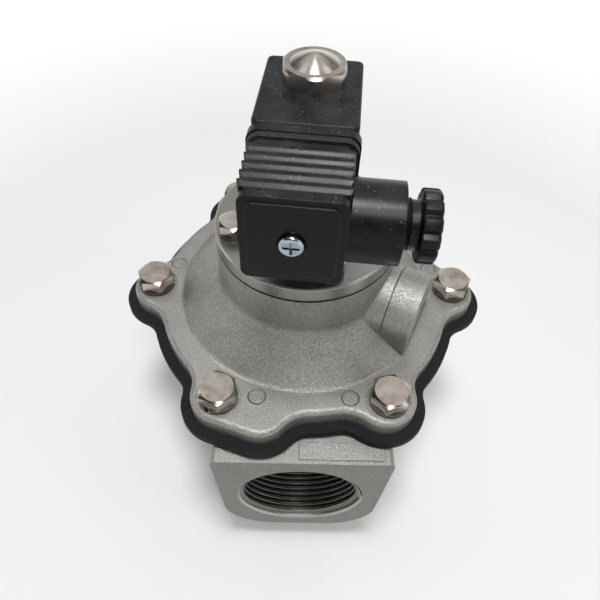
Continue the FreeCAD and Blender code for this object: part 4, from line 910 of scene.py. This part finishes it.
class VALVE_OT_inner_steel(Operator):
    """Steel on the tube, the core, the springs, the blades and the screw"""
    bl_idname = "valve.inner_steel"
    bl_label = "Finish the inner steel"

    def execute(self, context):
        look = context.scene.valve_steels
        # Zinc is bright and bluish, ground steel an even grey, drawn wire darker, brass yellow.
        give(cold_formed_metal("Zinc plate, blue passivated", look.zinc, look.zinc_shade, 0.16),
             "connector_screw")
        give(cold_formed_metal("Pressed steel washer", look.washer, look.washer_shade, 0.3),
             "gland_washer")
        give(cold_formed_metal("Ground steel", "B4B1AC", "8C8984", 0.24), "armature_tube",
             "fixed_core", "plunger", "diaphragm_plate", "diaphragm_hub", "hub_nut", "pilot_disc")
        give(cold_formed_metal("Drawn spring steel", "8F8C88", "6A6764", 0.28), "main_spring",
             "pilot_spring", "plunger_spring")
        give(cold_formed_metal("Rolled brass", "C9A75A", "A98543", 0.26), "coil_blades")
        return {"FINISHED"}


class VALVE_OT_rubber(Operator):
    """Black rubber on the diaphragms and seals"""
    bl_idname = "valve.rubber"
    bl_label = "Finish the rubber"

    def execute(self, context):
        give(woven_rubber("Cloth-faced nitrile"), "main_diaphragm", "pilot_diaphragm")
        give(moulded_rubber("Moulded nitrile"), "plunger_seal", "tube_o_ring", "connector_gasket",
             "gland_seal")
        return {"FINISHED"}


class VALVE_OT_coil(Operator):
    """Black nylon on the coil and the connector, with rounded grip ribs, and copper inside"""
    bl_idname = "valve.coil"
    bl_label = "Finish the coil and connector"

    def execute(self, context):
        # The glossy mould leaves soft highlights, the eroded one a dull grey sheen.
        shell = black_nylon("Glass-filled nylon, glossy mould", 0.27, softness=0.6 * MM)
        give(black_nylon("Glass-filled nylon, eroded mould", 0.38), "coil_housing")
        give(shell, "connector_housing")
        give(black_nylon("Insert nylon", 0.5, dusty=0.0), "connector_insert")
        give(wound_copper("Enamelled copper"), "coil_winding")
        spots = [(RIB_SHIFT, RIB_FIRST + RIB_PITCH * index, 0.0, 0.0)
                 for index in range(RIB_COUNT)]
        single = rib("rib_single")
        made = grow("connector_ribs", repeat_tree(), {"Piece": single, "Finish": shell}, COIL_TURN,
                    "coil", spots)
        bpy.data.objects.remove(single)
        return {"FINISHED"}


class VALVE_OT_gland(Operator):
    """Gland nut with its thread and finger notches"""
    bl_idname = "valve.gland"
    bl_label = "Make the gland nut"

    def execute(self, context):
        nut = gland_nut("gland_nut_body", context.scene.valve_threads)
        nylon = black_nylon("Gland nylon", 0.28, dusty=0.6, softness=0.3 * MM)
        nut.data.materials.append(nylon)
        settle(nut, GLAND_PLACE, "gland_turner", GLAND_SHARP_ANGLE)
        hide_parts("gland_nut")
        give(nylon, "gland_nut")
        return {"FINISHED"}


class VALVE_OT_stage(Operator):
    """Pale floor, soft lights and the camera"""
    bl_idname = "valve.stage"
    bl_label = "Set the stage"

    def execute(self, context):
        look = context.scene.valve_stage
        context.scene.view_settings.view_transform = "Standard"
        make_floor(look)
        make_lights(look)
        make_world(look)
        make_camera(context.scene)
        return {"FINISHED"}


def to_the_eye(tree):
    """One for rays from the camera, in reflections and through glass, and zero for others."""
    rays = add(tree, "ShaderNodeLightPath").node.outputs
    seen = add(tree, MATH, [rays["Is Camera Ray"], rays["Is Glossy Ray"]], MOST)
    return add(tree, MATH, [seen, rays["Is Transmission Ray"]], MOST)


def make_floor(look):
    """Matt floor that the eye sees paler further out."""
    mesh = bpy.data.meshes.new("floor")
    mesh.from_pydata([(x * FLOOR_HALF, y * FLOOR_HALF, 0)
                      for x, y in ((-1, -1), (1, -1), (1, 1), (-1, 1))], [], [(0, 1, 2, 3)])
    floor = bpy.data.objects.new("floor", mesh)
    bpy.context.scene.collection.objects.link(floor)
    material, tree, where = begin("Matt painted floor")
    patch_size = 200 * MM
    tint = add(tree, NOISE, {"Vector": where, "Scale": 1 / patch_size})
    patches = add(tree, RANGE, [tint, 0.0, 1.0, 0.0, 0.1])
    tone = add(tree, MIX, {SHARE: patches, UNDER: look.floor, OVER: "EEEEEE"}, COLOURS, BLEND)
    matt = add(tree, "ShaderNodeBsdfDiffuse", {"Color": tone})
    away = from_axis(tree, where, 0, 1)
    far = add(tree, RANGE, [away, GLOW_START, GLOW_FULL, look.glow, 1.0])
    strength = add(tree, MATH, [to_the_eye(tree), far], TIMES)
    glow = add(tree, "ShaderNodeEmission", {"Strength": strength})
    mesh.materials.append(finished(material, add(tree, "ShaderNodeAddShader", [matt, glow])))


def make_lights(look):
    """Round lamps that face the part."""
    for name, place, size, power in LAMPS:
        lamp = bpy.data.lights.new(name, "AREA")
        lamp.shape = "DISK"
        lamp.size = size
        lamp.energy = getattr(look, power)
        holder = bpy.data.objects.new(name, lamp)
        holder.location = place
        holder.rotation_euler = (Vector(place) - LAMP_AIM).to_track_quat("Z", "Y").to_euler()
        bpy.context.scene.collection.objects.link(holder)


def make_world(look):
    """Room that is darker on the left, and pale near the floor for the eye and in reflections."""
    world = bpy.data.worlds.new("Pale room")
    bpy.context.scene.world = world
    world.use_nodes = True
    tree = world.node_tree
    tree.nodes.clear()
    parts = add(tree, SPLIT, [add(tree, "ShaderNodeTexCoord", out="Generated")]).node.outputs
    shares = [share * look.room for share in ROOM_SHARES]
    level = add(tree, RANGE, [parts[0], *ROOM_SPAN, *shares])
    band = add(tree, RANGE, [parts[2], *BAND, 0.0, look.horizon])
    pale = add(tree, MATH, [add(tree, MATH, [band, to_the_eye(tree)], TIMES), level], MOST)
    room = add(tree, "ShaderNodeBackground", {"Color": "FFFFFF", "Strength": pale})
    add(tree, "ShaderNodeOutputWorld", {"Surface": room})


def make_camera(scene):
    """Camera at the photograph's viewing angle."""
    azimuth, elevation, roll = (math.radians(angle) for angle in CAMERA_ANGLES)
    back = Vector((math.sin(azimuth) * math.cos(elevation),
                   -math.cos(azimuth) * math.cos(elevation), math.sin(elevation)))
    right = (-back).cross(Vector((0, 0, 1))).normalized()
    up = right.cross(-back)
    across = right * math.cos(roll) + up * math.sin(roll)
    upward = up * math.cos(roll) - right * math.sin(roll)
    place = Matrix((across, upward, back)).transposed().to_4x4()
    place.translation = Vector(CAMERA_PLACE) * MM
    data = bpy.data.cameras.new("camera")
    data.sensor_width = CAMERA_SENSOR
    data.lens = CAMERA_LENS
    data.shift_x, data.shift_y = CAMERA_SHIFT
    data.clip_start = CAMERA_NEAREST
    camera = bpy.data.objects.new("camera", data)
    camera.matrix_world = place
    scene.collection.objects.link(camera)
    scene.camera = camera


class VALVE_PT_panel(Panel):
    """Steps that dress the valve"""
    bl_idname = "VALVE_PT_panel"
    bl_label = "Pulse valve"
    bl_space_type = "VIEW_3D"
    bl_region_type = "UI"
    bl_category = "Valve"

    def draw(self, context):
        for group in GROUPS:
            settings = getattr(context.scene, group)
            for name in settings.bl_rna.properties.keys():
                if name not in ("rna_type", "name"):
                    self.layout.prop(settings, name)
        for step in STEPS:
            self.layout.operator(step.bl_idname)


GROUPS = {"valve_castings": CastingSettings, "valve_threads": ThreadSettings,
          "valve_steels": SteelSettings, "valve_plastics": PlasticSettings,
          "valve_stage": StageSettings}
STEPS = (VALVE_OT_castings, VALVE_OT_threads, VALVE_OT_bolts, VALVE_OT_dome_nut,
         VALVE_OT_inner_steel, VALVE_OT_rubber, VALVE_OT_coil, VALVE_OT_gland, VALVE_OT_stage)


def register():
    for name, group in GROUPS.items():
        bpy.utils.register_class(group)
        setattr(bpy.types.Scene, name, PointerProperty(type=group))
    for step in STEPS:
        bpy.utils.register_class(step)
    bpy.utils.register_class(VALVE_PT_panel)


def unregister():
    bpy.utils.unregister_class(VALVE_PT_panel)
    for step in reversed(STEPS):
        bpy.utils.unregister_class(step)
    for name, group in reversed(GROUPS.items()):
        delattr(bpy.types.Scene, name)
        bpy.utils.unregister_class(group)


def main():
    """Dresses the valve."""
    register()
    bpy.ops.valve.castings()
    bpy.ops.valve.threads()
    bpy.ops.valve.bolts()
    bpy.ops.valve.dome_nut()
    bpy.ops.valve.inner_steel()
    bpy.ops.valve.rubber()
    bpy.ops.valve.coil()
    bpy.ops.valve.gland()
    bpy.ops.valve.stage()


if __name__ == "__main__":
    main()
